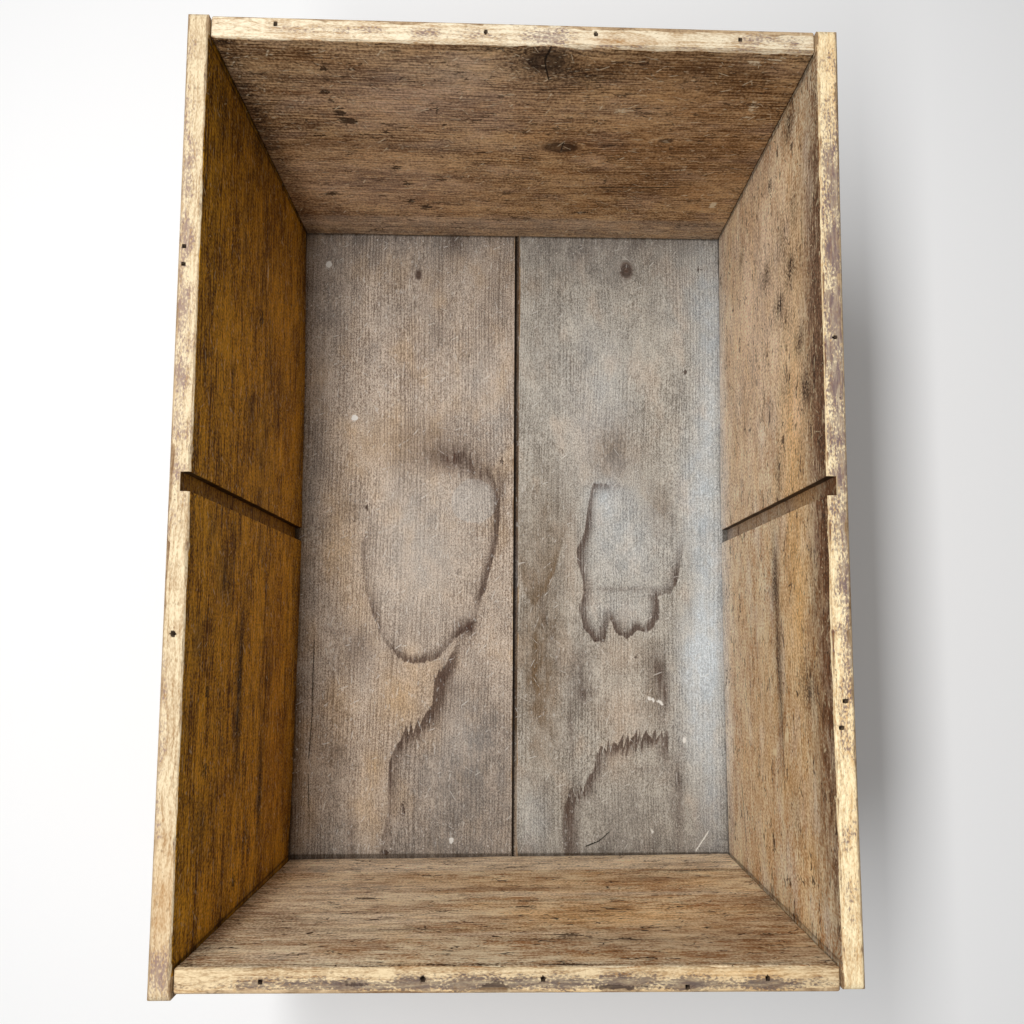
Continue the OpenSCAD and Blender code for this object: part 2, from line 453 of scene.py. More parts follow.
edge = (drying * drying * given["Body"]).most(distance.rise(-2.6, -0.6) * 0.7)
feed(leaves["Edge"], edge * distance.fall(0.0, 1.4) * (drawn * 0.6 + 0.6))

# Old pine: the colour, roughness and height of a worn board, from what is painted on its points and from a
# board's settings, which are numbers and display colours.
floor_settings = {
    "Pale wood": (210, 195, 178), "Dark wood": (120, 104, 90), "Spacing": 2.6, "Fineness": 0.7,
    "Contrast": 0.42, "Fibres": 0.25, "Streaks": 0.05, "Mottle": 0.15, "Clouds": 0.15, "Speckle": 1.1,
    "Speckle scale": 1.3, "Speckle run": 0.6, "Grit": 0.1, "Hue": 0.3, "Dark patch": (78, 58, 48),
    "Pale patch": (190, 184, 176), "Warm patch": (196, 164, 122), "Grey patch": (134, 128, 122),
    "Brown patch": (116, 90, 62), "Dents": 0.1, "Scuffs": 0.25, "Scratches": 0.5, "Scratch width": 0.35,
    "Dust": 0.8, "Rim pale": (234, 232, 226), "Rim dark": (128, 96, 66), "Rim dirt": (80, 68, 62),
    "Rim width": 0.0, "Back pale": (190, 164, 130), "Back dark": (124, 96, 68),
}
WOOD_INPUTS = dict.fromkeys(("Grain", "Place", "Edge", "Mark", "Tone", "Haze"), "V")
WOOD_INPUTS |= dict.fromkeys(("Nail gap", "Wet pale", "Wet brown", "Wet line"), "F")
WOOD_INPUTS |= {label: "C" if isinstance(value, tuple) else "F" for label, value in floor_settings.items()}
CRISP_EDGE = (0.35, 0.6)
CRISP_COVER = 0.85
DUST_REACH = 50.0
# How far grime and painted shade reach from an inner joint.
GRIME_AND_SHADE_REACH = 9.0
DUST_COLOUR = tint(232, 230, 224)
# The colour of the painted shade on the walls of the housing.
GROOVE_SHADE = tint(34, 20, 10)
RIM_PIT_DARK = tint(66, 52, 44)
BACK_DENT_DARK = tint(58, 42, 30)
NAIL_STAIN = tint(52, 38, 32)
LINE_DARK = tint(26, 18, 12)
old_pine, given, leaves = new_group(
    "old_pine", WOOD_INPUTS, {"Color": "C", "Roughness": "F", "Height": "F"})
pine_tree = given["Grain"].tree
grain, place = given["Grain"], given["Place"]
place_along, place_across, place_depth = place.parts()
past_rim, joint_gap, groove = given["Edge"].parts()
line_side, line_past, knot = given["Mark"].parts()
dark_tone, pale_tone, warm_tone = given["Tone"].parts()
grey_haze, brown_haze, crisp = given["Haze"].parts()

# The wood itself: rings and fibres, streaks along them, clouds and mottling of the face, and fine grit. Noise
# is stretched by its lumps per millimetre along, across and through the board.
rings = use_group(pine_tree, pine_grain, {
    "Grain": grain, "Spacing": given["Spacing"], "Fineness": given["Fineness"]})
late, fibre = rings["Late"], rings["Fibre"]
streak = grain.stretched(0.006, 0.12, 0.12).noise(1.0).spread() - 0.5
cloud = place.stretched(0.016, 0.03, 0.03).noise(2.0).spread()
mottle = place.stretched(0.06, 0.09, 0.09).noise(2.0).spread() - 0.5
breakup = grain.stretched(0.05, 0.3, 0.3).noise(2.0).spread()
grain_along, grain_ring, grain_depth = grain.parts()
speckle_place = joined(grain_along * given["Speckle run"], grain_ring, grain_depth)
speckle = scaled(speckle_place, given["Speckle scale"]).noise(3.0).rise(0.25, 0.75) - 0.5
grit = place.stretched(0.6, 0.4, 0.4).noise(3.0).spread() - 0.5
lines = late * given["Contrast"] * (cloud * 0.8 + 0.3)
pattern = lines + (fibre - 0.5) * given["Fibres"] + streak * given["Streaks"] + mottle * given["Mottle"]
pattern = pattern + (cloud - 0.5) * given["Clouds"] + speckle * given["Speckle"] + grit * given["Grit"] + 0.4
inside = pattern.blend(given["Pale wood"], given["Dark wood"])

# Tones laid over the wood by masks, shaded with its pattern so that it still shows through.
shade = pattern.rise(-0.6, 1.4) * -0.9 + 1.4
hue_drift = place.stretched(0.025, 0.04, 0.04).noise(2.0)
uneven_edge = mottle * 0.35 + breakup * 0.3 + 0.75
for label, mask in (
        ("Warm patch", hue_drift.rise(0.5, 0.7) * given["Hue"]),
        ("Grey patch", hue_drift.fall(0.3, 0.5) * given["Hue"]),
        ("Warm patch", warm_tone * uneven_edge),
        ("Brown patch", brown_haze * uneven_edge),
        ("Grey patch", grey_haze * uneven_edge),
        ("Pale patch", pale_tone * (mottle * 0.6 + 0.9)),
        ("Pale patch", given["Wet pale"]),
        ("Brown patch", given["Wet brown"]),
        ("Dark patch", given["Wet line"]),
        ("Dark patch", dark_tone * (breakup * 0.6 + grit * given["Grit"] + 0.6))):
    inside = mask.blend(inside, scaled(given[label], shade))
knot_rings = (knot * 9.0).math("SINE") * 0.25 + 0.9
inside = (knot.fall(0.6, 1.2) * 0.75).blend(inside, scaled(given["Dark patch"], knot_rings))

# Dents are short dashes along the grain, thin crooked cracks in clusters and dark cuts. Scuffs and pale cuts
# lie over them, and dust lies near the walls.
ragged = (breakup - 0.5) * 0.5 + speckle * 0.3 + grit * given["Grit"] * 0.4
pits = (crisp + ragged).rise(*CRISP_EDGE) * CRISP_COVER
chips = (crisp * -1.0 + ragged).rise(*CRISP_EDGE)
dashes = (place.stretched(0.11, 0.36, 0.36).noise(2.0) + cloud * 0.05).rise(0.68, 0.73)
cracks = abs(place.stretched(0.06, 0.13, 0.13).noise(2.0) - 0.5).fall(0.006, 0.026)
cracked = joined(place_along * 0.05 + 20.0, place_across * 0.08, place_depth * 0.08).noise(1.0)
dark_cuts = use_group(pine_tree, scattered_marks, {
    "Place": place.stretched(1.0, -1.0, 1.0), "Cell length": 13.0, "Cell width": 9.0, "Length": 4.5,
    "Width": 0.5, "Turn": 1.2, "Share": 0.4})
dents = dashes.most(cracks * cracked.rise(0.55, 0.63))
dents = dents.most(dark_cuts["Mask"] * breakup.rise(0.1, 0.7) * 0.8) * given["Dents"]
dents = dents.most(pits)
inside = dents.blend(inside, scaled(given["Dark patch"], 0.7))
scuffs = joined(place_along * 0.2 + 40.0, place_across * 0.4, place_depth * 0.4).noise(2.0)
scuffs = scuffs.rise(0.62, 0.7) * given["Scuffs"]
pale_cuts = use_group(pine_tree, scattered_marks, {
    "Place": place, "Cell length": 11.0, "Cell width": 11.0, "Length": 5.0, "Width": given["Scratch width"],
    "Turn": 1.4, "Share": 0.55})
scuffs = scuffs.most(pale_cuts["Mask"] * given["Scratches"] * breakup.rise(0.2, 0.8))
inside = scuffs.most(chips * 0.9).blend(inside, given["Rim pale"])
dust_specks = scaled(place, 0.55).noise(1.0).rise(0.7, 0.76)
inside = (dust_specks * joint_gap.fall(0.0, DUST_REACH) * given["Dust"]).blend(inside, DUST_COLOUR)

# The housing for the divider is dark on its walls, which is painted shade, and brown on its bottom, and grime
# with painted shade fills the inner joints.
in_groove = groove.rise(0.2, 1.2)
inside = (in_groove * 0.45).blend(inside, given["Brown patch"])
inside = (in_groove * groove.fall(4.4, 5.4) * 0.85).blend(inside, GROOVE_SHADE)
grime_and_shade = joint_gap.fall(0.2, 1.6) * 0.6 + joint_gap.fall(0.0, GRIME_AND_SHADE_REACH) * breakup * 0.25
inside = grime_and_shade.blend(inside, scaled(given["Brown patch"], 0.25))

# The rim is raw wood with its own rings, darkened by hazes, dirt and pits.
rim_drift = place.stretched(0.02, 0.0, 0.1).noise(1.0)
rim_phase = (place_depth * 0.3 + place_along * 0.008 + rim_drift * 4.0).math("FRACT")
rim_fibre = place.stretched(0.1, 0.6, 0.6).noise(3.0).spread()
rim_speckle = place.stretched(0.5, 1.6, 1.6).noise(3.0).spread() - 0.5
raw = late_wood(rim_phase) * 0.3 + (rim_fibre - 0.5) * 0.3 + mottle * 0.4 + rim_speckle * 0.55 + 0.25
raw = raw.blend(given["Rim pale"], given["Rim dark"])
rim_cover = past_rim.rise(0.4, 2.0)
for label, mask in (("Brown patch", brown_haze), ("Warm patch", warm_tone), ("Grey patch", grey_haze)):
    raw = (mask * uneven_edge * rim_cover).blend(raw, given[label])
rim_dirt_noise = place.stretched(0.5, 1.0, 1.0).noise(4.0).spread()
rim_dirt = (dark_tone * 0.9 + (rim_dirt_noise - 0.5) * 0.9 + mottle * 0.6).rise(0.2, 0.8)
rim_dirt = rim_dirt * dark_tone.rise(0.0, 0.2) * rim_cover
raw = (rim_dirt * (rim_fibre * 0.35 + 0.55)).blend(raw, given["Rim dirt"])
rim_pits = joined(place_along * 0.3 + 60.0, place_across * 0.6, place_depth * 0.6).noise(3.0)
raw = (rim_pits.rise(0.62, 0.7) * 0.4).blend(raw, scaled(given["Rim dark"], 0.5))
raw = pits.blend(raw, RIM_PIT_DARK)
rim_edge = past_rim + (breakup - 0.5) * 1.4
colour = rim_edge.rise(-0.2, 0.25).blend(inside, raw)

# The outer face is calmer, with a dark stain round each nail. Thin dark or pale lines lie over everything,
# and the dark line in an open floor joint is painted shadow.
back = late * 0.35 + (fibre - 0.5) * 0.5 + streak * 0.4 + mottle * 0.25 + speckle * 0.3 + grit * 0.3
back = back + (cloud - 0.5) * 0.3 + 0.35
back = back.blend(given["Back pale"], given["Back dark"])
back = (dents * 0.4).blend(back, BACK_DENT_DARK)
back = (scuffs * 0.4).blend(back, given["Rim pale"])
back = (given["Nail gap"].fall(-1.0, 4.0) * (breakup * 0.8 + 0.3)).blend(back, NAIL_STAIN)
back_edge = (past_rim - given["Rim width"]) + (breakup - 0.5) * 2.0
colour = back_edge.rise(-0.3, 0.4).blend(colour, back)
is_pale = line_past.math("GREATER_THAN", 0.7 * PALE_LINE)
line_end = (line_past - is_pale * PALE_LINE).fall(0.0, 2.5)
line = abs(line_side + speckle * 0.8).fall(0.5, 1.1) * line_end
colour = (line * 0.92).blend(colour, is_pale.blend(LINE_DARK, given["Rim pale"]))
feed(leaves["Color"], colour)
feed(leaves["Roughness"], fibre * 0.2 + 0.55)
feed(leaves["Height"], fibre * 0.5 + late * 0.3 + speckle * 0.4 + grit * given["Grit"] * 0.5 - dents * 0.8)

STAIN_TEETH = (0.9, 4.2, 0.6)
STAIN_FADE = (13.0, 20.0, 12.0)
STAIN_BODY = (1.0, 1.0, 0.6)
WET_PALE = 0.08
WET_BROWN = 0.4
WET_LINE_MOST = 0.84
BUMP_STRENGTH = 0.5
WOOD_BUMP = 0.5
WOOD_SHINE = 0.1


def new_material(name):
    """A material with nodes, and its tree."""
    made = bpy.data.materials.new(name)
    made.use_nodes = True
    return made, made.node_tree


def set_shader(tree, values):
    """Gives the shader of a material its values."""
    for label, value in values.items():
        feed(tree.nodes["Principled BSDF"].inputs[label], value)


def bumped(tree, height, distance):
    """The normals of a surface with fine heights on it, as far as a distance in millimetres."""
    bump = tree.nodes.new("ShaderNodeBump")
    feed(bump.inputs["Strength"], BUMP_STRENGTH)
    feed(bump.inputs["Distance"], distance * MM)
    feed(bump.inputs["Height"], height)
    return Wire(bump.outputs["Normal"])


def painted(tree, label):
    """The three values painted on a piece under a name."""
    reader = tree.nodes.new("ShaderNodeAttribute")
    reader.attribute_name = label.lower()
    return Wire(reader.outputs["Vector"])


def wood(name, settings, stained=False):
    """A material that joins the values painted on a board to the old pine group. A stained one has dried
    water."""
    made, tree = new_material(name)
    inputs = {label: tint(*value) if isinstance(value, tuple) else value for label, value in settings.items()}
    for label in ("Grain", "Place", "Edge", "Mark", "Tone", "Haze"):
        inputs[label] = painted(tree, label)
    stains = painted(tree, "Stain").parts()
    inputs["Nail gap"] = FAR if stained else stains[0]
    if stained:
        strengths = painted(tree, "Damp").parts()
        squares = painted(tree, "Square").parts()
        dried = [
            use_group(tree, dried_water, {
                "Distance": stain, "Square": square, "Place": inputs["Place"], "Teeth": teeth, "Fade": fade,
                "Body": body})
            for stain, square, teeth, fade, body in zip(
                stains, squares, STAIN_TEETH, STAIN_FADE, STAIN_BODY)]
        brown = strengths[2].most(0.0)
        pale = (strengths[2] * -1.0).most(0.0)
        inputs["Wet pale"] = dried[0]["Inside"] * WET_PALE + dried[2]["Inside"] * pale
        inputs["Wet brown"] = dried[2]["Inside"] * brown * WET_BROWN + dried[2]["Edge"] * brown
        edges = (dried[0]["Edge"] * strengths[0]).most(dried[1]["Edge"] * strengths[1])
        inputs["Wet line"] = edges.math("MINIMUM", WET_LINE_MOST)
    look = use_group(tree, old_pine, inputs)
    set_shader(tree, {
        "Base Color": look["Color"], "Roughness": look["Roughness"], "Specular IOR Level": WOOD_SHINE,
        "Normal": bumped(tree, look["Height"], WOOD_BUMP)})
    return made


TONES = ("dark", "pale", "warm", "grey", "brown", "crisp")
FLOOR_TOP = 12.0
FLOOR_THICKNESS = 12.0
FLOOR_LENGTH = 528.0
FLOOR_RADIUS = 1.2
FLOOR_RING_LEAN = 0.6
FLOOR_LUMPS = 0.18
FLOOR_LUMP_LENGTH = 40.0
FLOOR_LUMP_WIDTH = 14.0
INNER_HALF_WIDTH = 172.5
INNER_HALF_LENGTH = 251.0
OUTER_EDGE = 184.5
JOINT_LEFT = 1.2
JOINT_REACH = 6.0
# Where the painted shadow in the open joint ends, and how softly.
JOINT_SHADOW = 2.6
JOINT_SHADOW_FADE = 0.9
JOINT_GREY = [(-32, 0, 26, 1, 0.9)]
JOINT_BARE = [(-255, 0, 80, 1, 0.9)]
JOINT_DARKENING = 0.6
JOINT_DARKENING_START = -230.0
JOINT_DARKENING_RUN = 140.0
JOINT_DARKENING_LEAST = 0.1
NO_RIM = -5.0
floor_stations = places(-FLOOR_LENGTH / 2.0, FLOOR_LENGTH / 2.0, STATION_STEP, FLOOR_RADIUS)
floor_steps = [
    EDGE_STEP, GROOVE_STEP, GROOVE_STEP, GROOVE_STEP, EDGE_STEP, BACK_STEP, EDGE_STEP, FACE_STEP]


def floor_board(name, node, corners, seed, material, look):
    """A floor board from its section, with its grain, stains and dirt painted on, and some painted shade. The
    open joint has a black painted shadow on its left, beside the edge of the left board. Beside that the
    tongue is bare near the front end, grey in front of the middle and brown elsewhere, and it is painted
    darker away from the front end."""
    points, round_place = section(corners, floor_steps, FLOOR_RADIUS)
    along, across, depth = carry(points, floor_stations, FLOOR_RADIUS)
    past = np.broadcast_to(round_place, along.shape)
    ring, knot = growth_rings(along, across, depth, FLOOR_RING_LEAN, seed, look["knots"])
    rough = FLOOR_LUMPS * lumps(along / FLOOR_LUMP_LENGTH, across / FLOOR_LUMP_WIDTH, seed + 5)
    depth = depth + np.where(past < 0.0, rough + FLOOR_LUMPS, 0.0)
    piece = solid(name, across, along, FLOOR_TOP - depth)
    on_face = past <= 0.0
    in_joint = (np.abs(across) < JOINT_REACH) & (past > 0.0)
    wall_gap = np.minimum(INNER_HALF_WIDTH - np.abs(across), INNER_HALF_LENGTH - np.abs(along))
    dark, pale, warm, grey, brown, crisp = (
        np.where(on_face, patches(along, across, look[tone]), 0.0)
        for tone in TONES)
    grey = grey + np.where(in_joint, patches(along, 0.0 * along, JOINT_GREY), 0.0)
    bare = patches(along, 0.0 * along, JOINT_BARE)
    warm = warm + np.where(in_joint, bare, 0.0)
    brown = brown + np.where(in_joint, 1.0 - bare, 0.0)
    # The tongue is painted darker away from the front end.
    joint_darkening = JOINT_DARKENING * np.clip((along - JOINT_DARKENING_START) / JOINT_DARKENING_RUN, JOINT_DARKENING_LEAST, 1.0)
    dark = dark + np.where(in_joint, joint_darkening, 0.0)
    stains = [np.where(on_face, outline_distance(along, across, outline), FAR) for outline in look["stains"]]
    side, beyond = lines_near(along, across, look["lines"])
    # Painted shadow on the tongue, beside the edge of the left board.
    joint_shadow = np.maximum(0.0, across - JOINT_SHADOW) / JOINT_SHADOW_FADE
    side = np.where(in_joint, joint_shadow, np.where(on_face, side, FAR))
    beyond = np.where(in_joint, 0.0, beyond)
    paint(piece, "grain", along, ring, depth)
    paint(piece, "place", along, across, depth)
    paint(piece, "edge", np.where(in_joint, NO_RIM, past), np.where(on_face, wall_gap, FAR), 0.0)
    paint(piece, "mark", side, beyond, knot)
    paint(piece, "stain", *stains)
    paint(piece, "square", *(squareness(along, across, outline) for outline in look["stains"]))
    paint(piece, "damp", *(patches(along, across, spots) for spots in look["damp"]))
    paint(piece, "tone", dark, pale, warm)
    paint(piece, "haze", grey, brown, crisp)
    settle(piece, node, material)


GROOVE_BACK = -7.05
GROOVE_TOP, GROOVE_FOOT = 3.75, 8.25
DISC_ALONG, DISC_ACROSS, DISC_RADIUS = 28.0, -31.0, 19.0
DISC_TURNS = np.linspace(0.0, 5.9, 16)
left_section = [
    (JOINT_LEFT, 0.0), (JOINT_LEFT, GROOVE_TOP), (GROOVE_BACK, GROOVE_TOP), (GROOVE_BACK, GROOVE_FOOT),
    (JOINT_LEFT, GROOVE_FOOT), (JOINT_LEFT, FLOOR_THICKNESS), (-OUTER_EDGE, FLOOR_THICKNESS),
    (-OUTER_EDGE, 0.0)]
left_oval = [
    (54, -24), (48, -16), (30, -11), (14, -11), (-5, -13), (-29, -19), (-43, -21), (-49, -25), (-70, -29),
    (-76, -36), (-81, -44), (-90, -52), (-98, -60), (-102, -71), (-101, -85), (-91, -97), (-78, -104),
    (-63, -111), (-43, -117), (-26, -120), (-10, -122), (4, -116), (24, -112), (42, -111), (50, -80),
    (52, -50)]
left_zigzag = [
    (-88, -44), (-100, -50), (-115, -60), (-136, -62), (-148, -70), (-157, -84), (-172, -92), (-180, -95),
    (-199, -96), (-218, -96), (-240, -100), (-262, -104), (-262, 0), (-80, -20)]
left_disc = [
    (DISC_ALONG + DISC_RADIUS * math.cos(turn), DISC_ACROSS + DISC_RADIUS * math.sin(turn))
    for turn in DISC_TURNS]
left_oval_damp = [
    (14, -11, 40, 9, 1.1), (-40, -21, 26, 10, 1.1), (-78, -38, 12, 14, 1.1), (-98, -75, 14, 32, 1.1),
    (-65, -111, 30, 10, 0.7), (-10, -121, 34, 8, 0.5)]
left_zigzag_damp = [
    (-112, -58, 30, 20, 1.5), (-152, -76, 22, 24, 1.3), (-185, -96, 24, 12, 0.7), (-228, -98, 32, 8, 0.5)]
left_disc_damp = [(28, -31, 60, 60, -0.65)]

# The marks of a board: knots, soft spots of each tone, outlines that water dried in with how strongly each
# part of them shows, and thin lines. A crisp spot below zero is a pale chip.
left_floor_look = {
    "knots": [(217, -79, 3, 1.5)],
    # The dark spot along the back end, at 254 along, is painted shade.
    "dark": [
        (62, -46, 12, 22, 0.85), (50, -24, 8, 11, 0.7), (36, -10, 16, 3.5, 0.7), (80, -60, 16, 28, 0.3),
        (243, -50, 8, 7, 0.45), (217, -79, 3, 3, 0.5), (-74, -36, 8, 8, 1.1), (-118, -54, 16, 7, 0.6),
        (-235, -124, 18, 3, 0.6), (-170, -137, 4, 18, 0.35), (-92, -122, 15, 15, 0.45),
        (-77, -140, 3, 12, 0.3), (254, -85, 14, 140, 0.2)],
    "pale": [
        (120, -30, 60, 26, 0.3), (-165, -40, 20, 14, 0.25), (90, -12, 30, 8, 0.35), (-10, -75, 60, 34, 0.6)],
    "warm": [
        (75, -105, 22, 34, 0.4), (-20, -70, 50, 44, 0.12), (-132, -88, 26, 20, 0.7),
        (-185, -108, 16, 10, 0.6), (-225, -112, 26, 14, 0.4), (0, -138, 40, 14, 0.45),
        (-60, -122, 30, 14, 0.3), (-150, -135, 30, 14, 0.3)],
    # The grey strip at (0, -163) beside the left wall and the grey spot along the back end, at 256, are
    # painted shade.
    "grey": [
        (190, -150, 60, 16, 0.45), (220, -80, 30, 70, 0.25), (-90, -120, 18, 14, 0.4),
        (-205, -40, 50, 50, 0.75), (-150, -25, 40, 30, 0.55), (110, -160, 80, 8, 0.3),
        (-235, -135, 20, 14, 0.4), (0, -163, 70, 6, 0.4), (256, -85, 26, 140, 0.6),
        (-256, -85, 22, 140, 0.5)],
    # The brown strips along the left wall, at (0, -175) and (-180, -172), are painted shade with painted
    # brown light thrown back by the wall.
    "brown": [
        (0, -175, 400, 6, 0.8), (-180, -146, 70, 20, 0.35), (240, -120, 14, 50, 0.2),
        (68, -70, 18, 34, 0.3), (-180, -172, 90, 10, 0.5)],
    "crisp": [
        (225, -153, 2, 3, -1.2), (96, -129, 1.8, 3.4, -1.2), (-240, -46, 1.8, 2, -1.2),
        (22, -118, 4, 2.5, 0.7), (12, -126, 2.5, 2, 0.6), (136, -32, 6, 1.5, 0.5), (148, -38, 2, 4, 0.45),
        (-216, -84, 9, 2, 0.5), (60, -9, 4, 3, 0.6), (-249, -98, 2.5, 4, 1)],
    "stains": (left_oval, left_zigzag, left_disc),
    "damp": (left_oval_damp, left_zigzag_damp, left_disc_damp),
    "lines": [(-85, -157, -132, -157.5, 0.4), (-138, -157, -176, -159, 0.4), (-190, -159, -214, -158, 0.3)],
}
left_floor_wood = wood("left_floor_pine", floor_settings, stained=True)
floor_board(
    "left_floor_wood", "left_floor_board", left_section, seed=11, material=left_floor_wood,
    look=left_floor_look)

# Right floor board: the neighbour of the first, cut from the same pine, with a tongue along its left edge
# that shows in the joint where both boards have shrunk. Water ran in here and dried in rings.
JOINT_RIGHT = 4.8
TONGUE_TIP = -3.2
TONGUE_TOP, TONGUE_FOOT = 4.0, 8.0
right_section = [
    (JOINT_RIGHT, 0.0), (JOINT_RIGHT, TONGUE_TOP), (TONGUE_TIP, TONGUE_TOP), (TONGUE_TIP, TONGUE_FOOT),
    (JOINT_RIGHT, TONGUE_FOOT), (JOINT_RIGHT, FLOOR_THICKNESS), (OUTER_EDGE, FLOOR_THICKNESS),
    (OUTER_EDGE, 0.0)]
right_floor_settings = floor_settings | {
    "Pale wood": (204, 199, 188), "Dark wood": (114, 107, 97), "Contrast": 0.3, "Fibres": 0.2,
    "Mottle": 0.2, "Speckle": 0.95, "Warm patch": (192, 168, 144), "Pale patch": (202, 210, 215),
    "Brown patch": (116, 94, 68)}
right_ring = [
    (42, 66), (34, 64), (15, 61), (3, 59), (-10, 54), (-22, 54), (-36, 58), (-46, 59), (-58, 55), (-74, 58),
    (-85, 67), (-84, 73), (-76, 76), (-66, 80), (-78, 84), (-82, 93), (-76, 101), (-77, 110), (-66, 118),
    (-52, 119), (-49, 116), (-46, 128), (-38, 133), (-23, 136), (-7, 139), (9, 131), (28, 112), (40, 100),
    (42, 84)]
right_comb = [
    (-171, 125), (-159, 125), (-160, 109), (-159, 101), (-165, 89), (-169, 76), (-173, 69), (-185, 67),
    (-193, 62), (-200, 58), (-205, 50), (-212, 43), (-224, 41), (-249, 43), (-262, 45), (-262, 128),
    (-183, 127)]
right_run = [
    (29, 55), (-3, 41), (-28, 35), (-44, 29), (-56, 17), (-46, 11), (-20, 5), (40, 5), (70, 30), (60, 52)]
right_ring_damp = [
    (0, 58, 50, 13, 1.2), (-75, 62, 22, 14, 1), (-75, 100, 22, 28, 1.2), (-55, 117, 14, 8, 0.8),
    (-35, 134, 24, 12, 0.9), (42, 75, 8, 14, 0.5)]
right_comb_damp = [(-166, 98, 20, 36, 1.3), (-194, 62, 20, 14, 0.9), (-228, 46, 34, 12, 0.8)]
right_run_damp = [(-30, 28, 45, 26, 0.9)]
right_floor_look = {
    "knots": [(223, 94, 6, 1.4)],
    # The dark spot along the back end, at 254 along, is painted shade.
    "dark": [
        (223, 94, 6, 5, 0.5), (-228, 48, 28, 6, 0.7), (-122, 121, 26, 6, 0.8), (-100, 114, 12, 4, 0.5),
        (-205, 133, 40, 5, 0.65), (-55, 24.5, 7, 2, 0.5), (-68, 27, 7, 2, 0.5), (-82, 32, 7, 2.5, 0.45),
        (-100, 37.5, 9, 3, 0.4), (-105, 57, 22, 9, 0.45), (-126, 58, 7, 9, 0.5), (-160, 48, 24, 2.5, 0.5),
        (-43, 92, 1.8, 30, 0.45), (-192, 15, 3, 8, 0.35), (-201, 28, 5, 5, 0.35), (-186, 112, 2, 14, 0.4),
        (254, 85, 14, 140, 0.2)],
    "pale": [
        (-98, 152, 36, 16, 1), (-40, 160, 60, 12, 0.7), (40, 152, 60, 16, 0.6), (30, 76, 14, 12, 0.5),
        (0, 92, 40, 30, 0.4), (200, 150, 40, 24, 0.3), (110, 70, 70, 30, 0.3), (-225, 18, 22, 12, 0.3),
        (-60, 88, 10, 20, 0.2), (-150, 150, 40, 18, 0.5), (150, 164, 90, 12, 0.6),
        (-200, 160, 50, 12, 0.45)],
    "warm": [
        (75, 75, 22, 26, 0.35), (100, 60, 40, 16, 0.2), (-140, 88, 22, 22, 0.45), (-95, 88, 14, 18, 0.45),
        (-20, 48, 40, 6, 0.4), (-185, 88, 12, 16, 0.2)],
    # The grey spot along the back end, at 256 along, is painted shade.
    "grey": [
        (230, 60, 22, 50, 0.35), (150, 25, 60, 12, 0.3), (-220, 95, 26, 30, 0.45), (-225, 158, 40, 14, 0.4),
        (60, 92, 10, 12, 0.3), (-120, 52, 24, 10, 0.35), (256, 85, 26, 140, 0.6), (-256, 85, 22, 140, 0.65)],
    "brown": [
        (62, 82, 22, 18, 0.7), (24, 120, 20, 12, 0.7), (78, 84, 12, 14, 0.4), (-100, 18, 42, 15, 0.4),
        (-150, 26, 40, 14, 0.35), (-58, 144, 12, 2, 0.45), (-120, 114, 24, 8, 0.35), (0, 172, 300, 3, 0.25),
        (30, 25, 40, 20, 0.2), (-70, 26, 100, 22, 0.5)],
    "crisp": [
        (-130.5, 110.5, 1.2, 2.2, -1), (-132, 114, 1.4, 1.3, -1.1), (-132.5, 118, 1.6, 2.2, -1.2),
        (-134.5, 120.5, 1.6, 1.3, -1.2), (-163, 138, 2.2, 1.1, -1), (-234, 112, 2.2, 1, -1),
        (-97, 99, 2, 1.6, 0.9), (137, 142, 2.5, 4, 0.6), (150, 148, 6, 1.6, 0.4), (-246, 167, 2, 2, 0.7),
        (225, 156, 2.5, 5, 0.5), (70, 40, 3, 1.2, 0.5), (-84, 70, 4, 5, 0.45)],
    "stains": (right_ring, right_comb, right_run),
    "damp": (right_ring_damp, right_comb_damp, right_run_damp),
    "lines": [(-245, 60, -241, 70, 0.6), (-241, 70, -235, 77, 0.5), (-248, 147, -235, 156, -0.6)],
}
right_floor_wood = wood("right_floor_pine", right_floor_settings, stained=True)
floor_board(
    "right_floor_wood", "right_floor_board", right_section, seed=23, material=right_floor_wood,
    look=right_floor_look)

# Back end: a planed board set between the sides and nailed through them. It is brown with handling, has a
# large knot at its rim and a smaller one below, and its top edge is worn down to raw wood.
RIM_RADIUS = 1.5
RIM_STEP = 0.8
FOOT_STEP = 3.0
RIM_START, RIM_END = -0.1, 15.0
BEVEL_DEPTH = 0.6
HOLE_DEPTH = 6.0
HOLE_SLOPE = 1.6
HOLE_OFFSETS = np.linspace(-2.4, 2.4, 9)
SPLINTER_LENGTHS = (0.3, 1.0)
SPLINTER_DEPTHS = (0.25, 1.0)
WALL_RING_LEAN = 0.5
LUMP_LENGTH = 45.0
LUMP_WIDTH = 16.0
STRIP_FADE = 4.0
NAIL_STAIN_RADIUS = 4.0
PAST_RIM = 4.0
END_LOW, END_HIGH = 12.0, 308.0
END_HALF = 172.1
END_THICKNESS = 13.0
BACK_LEANS = ((0.0, 0.0), (2.9, 0.7))
BACK_LUMPS = 0.2


def splinters(along, count, length, depth, seed):
    """Depth of the chips along an edge: each one deepens slowly along the grain and then breaks off."""
    chance = np.random.default_rng(seed)
    start = chance.uniform(along.min(), along.max(), count)
    reach = length * chance.uniform(*SPLINTER_LENGTHS, count)
    deep = depth * chance.uniform(*SPLINTER_DEPTHS, count) ** 2
    share = (along[..., None] - start) / reach
    return np.max(np.where((share > 0.0) & (share < 1.0), share * deep, 0.0), -1)


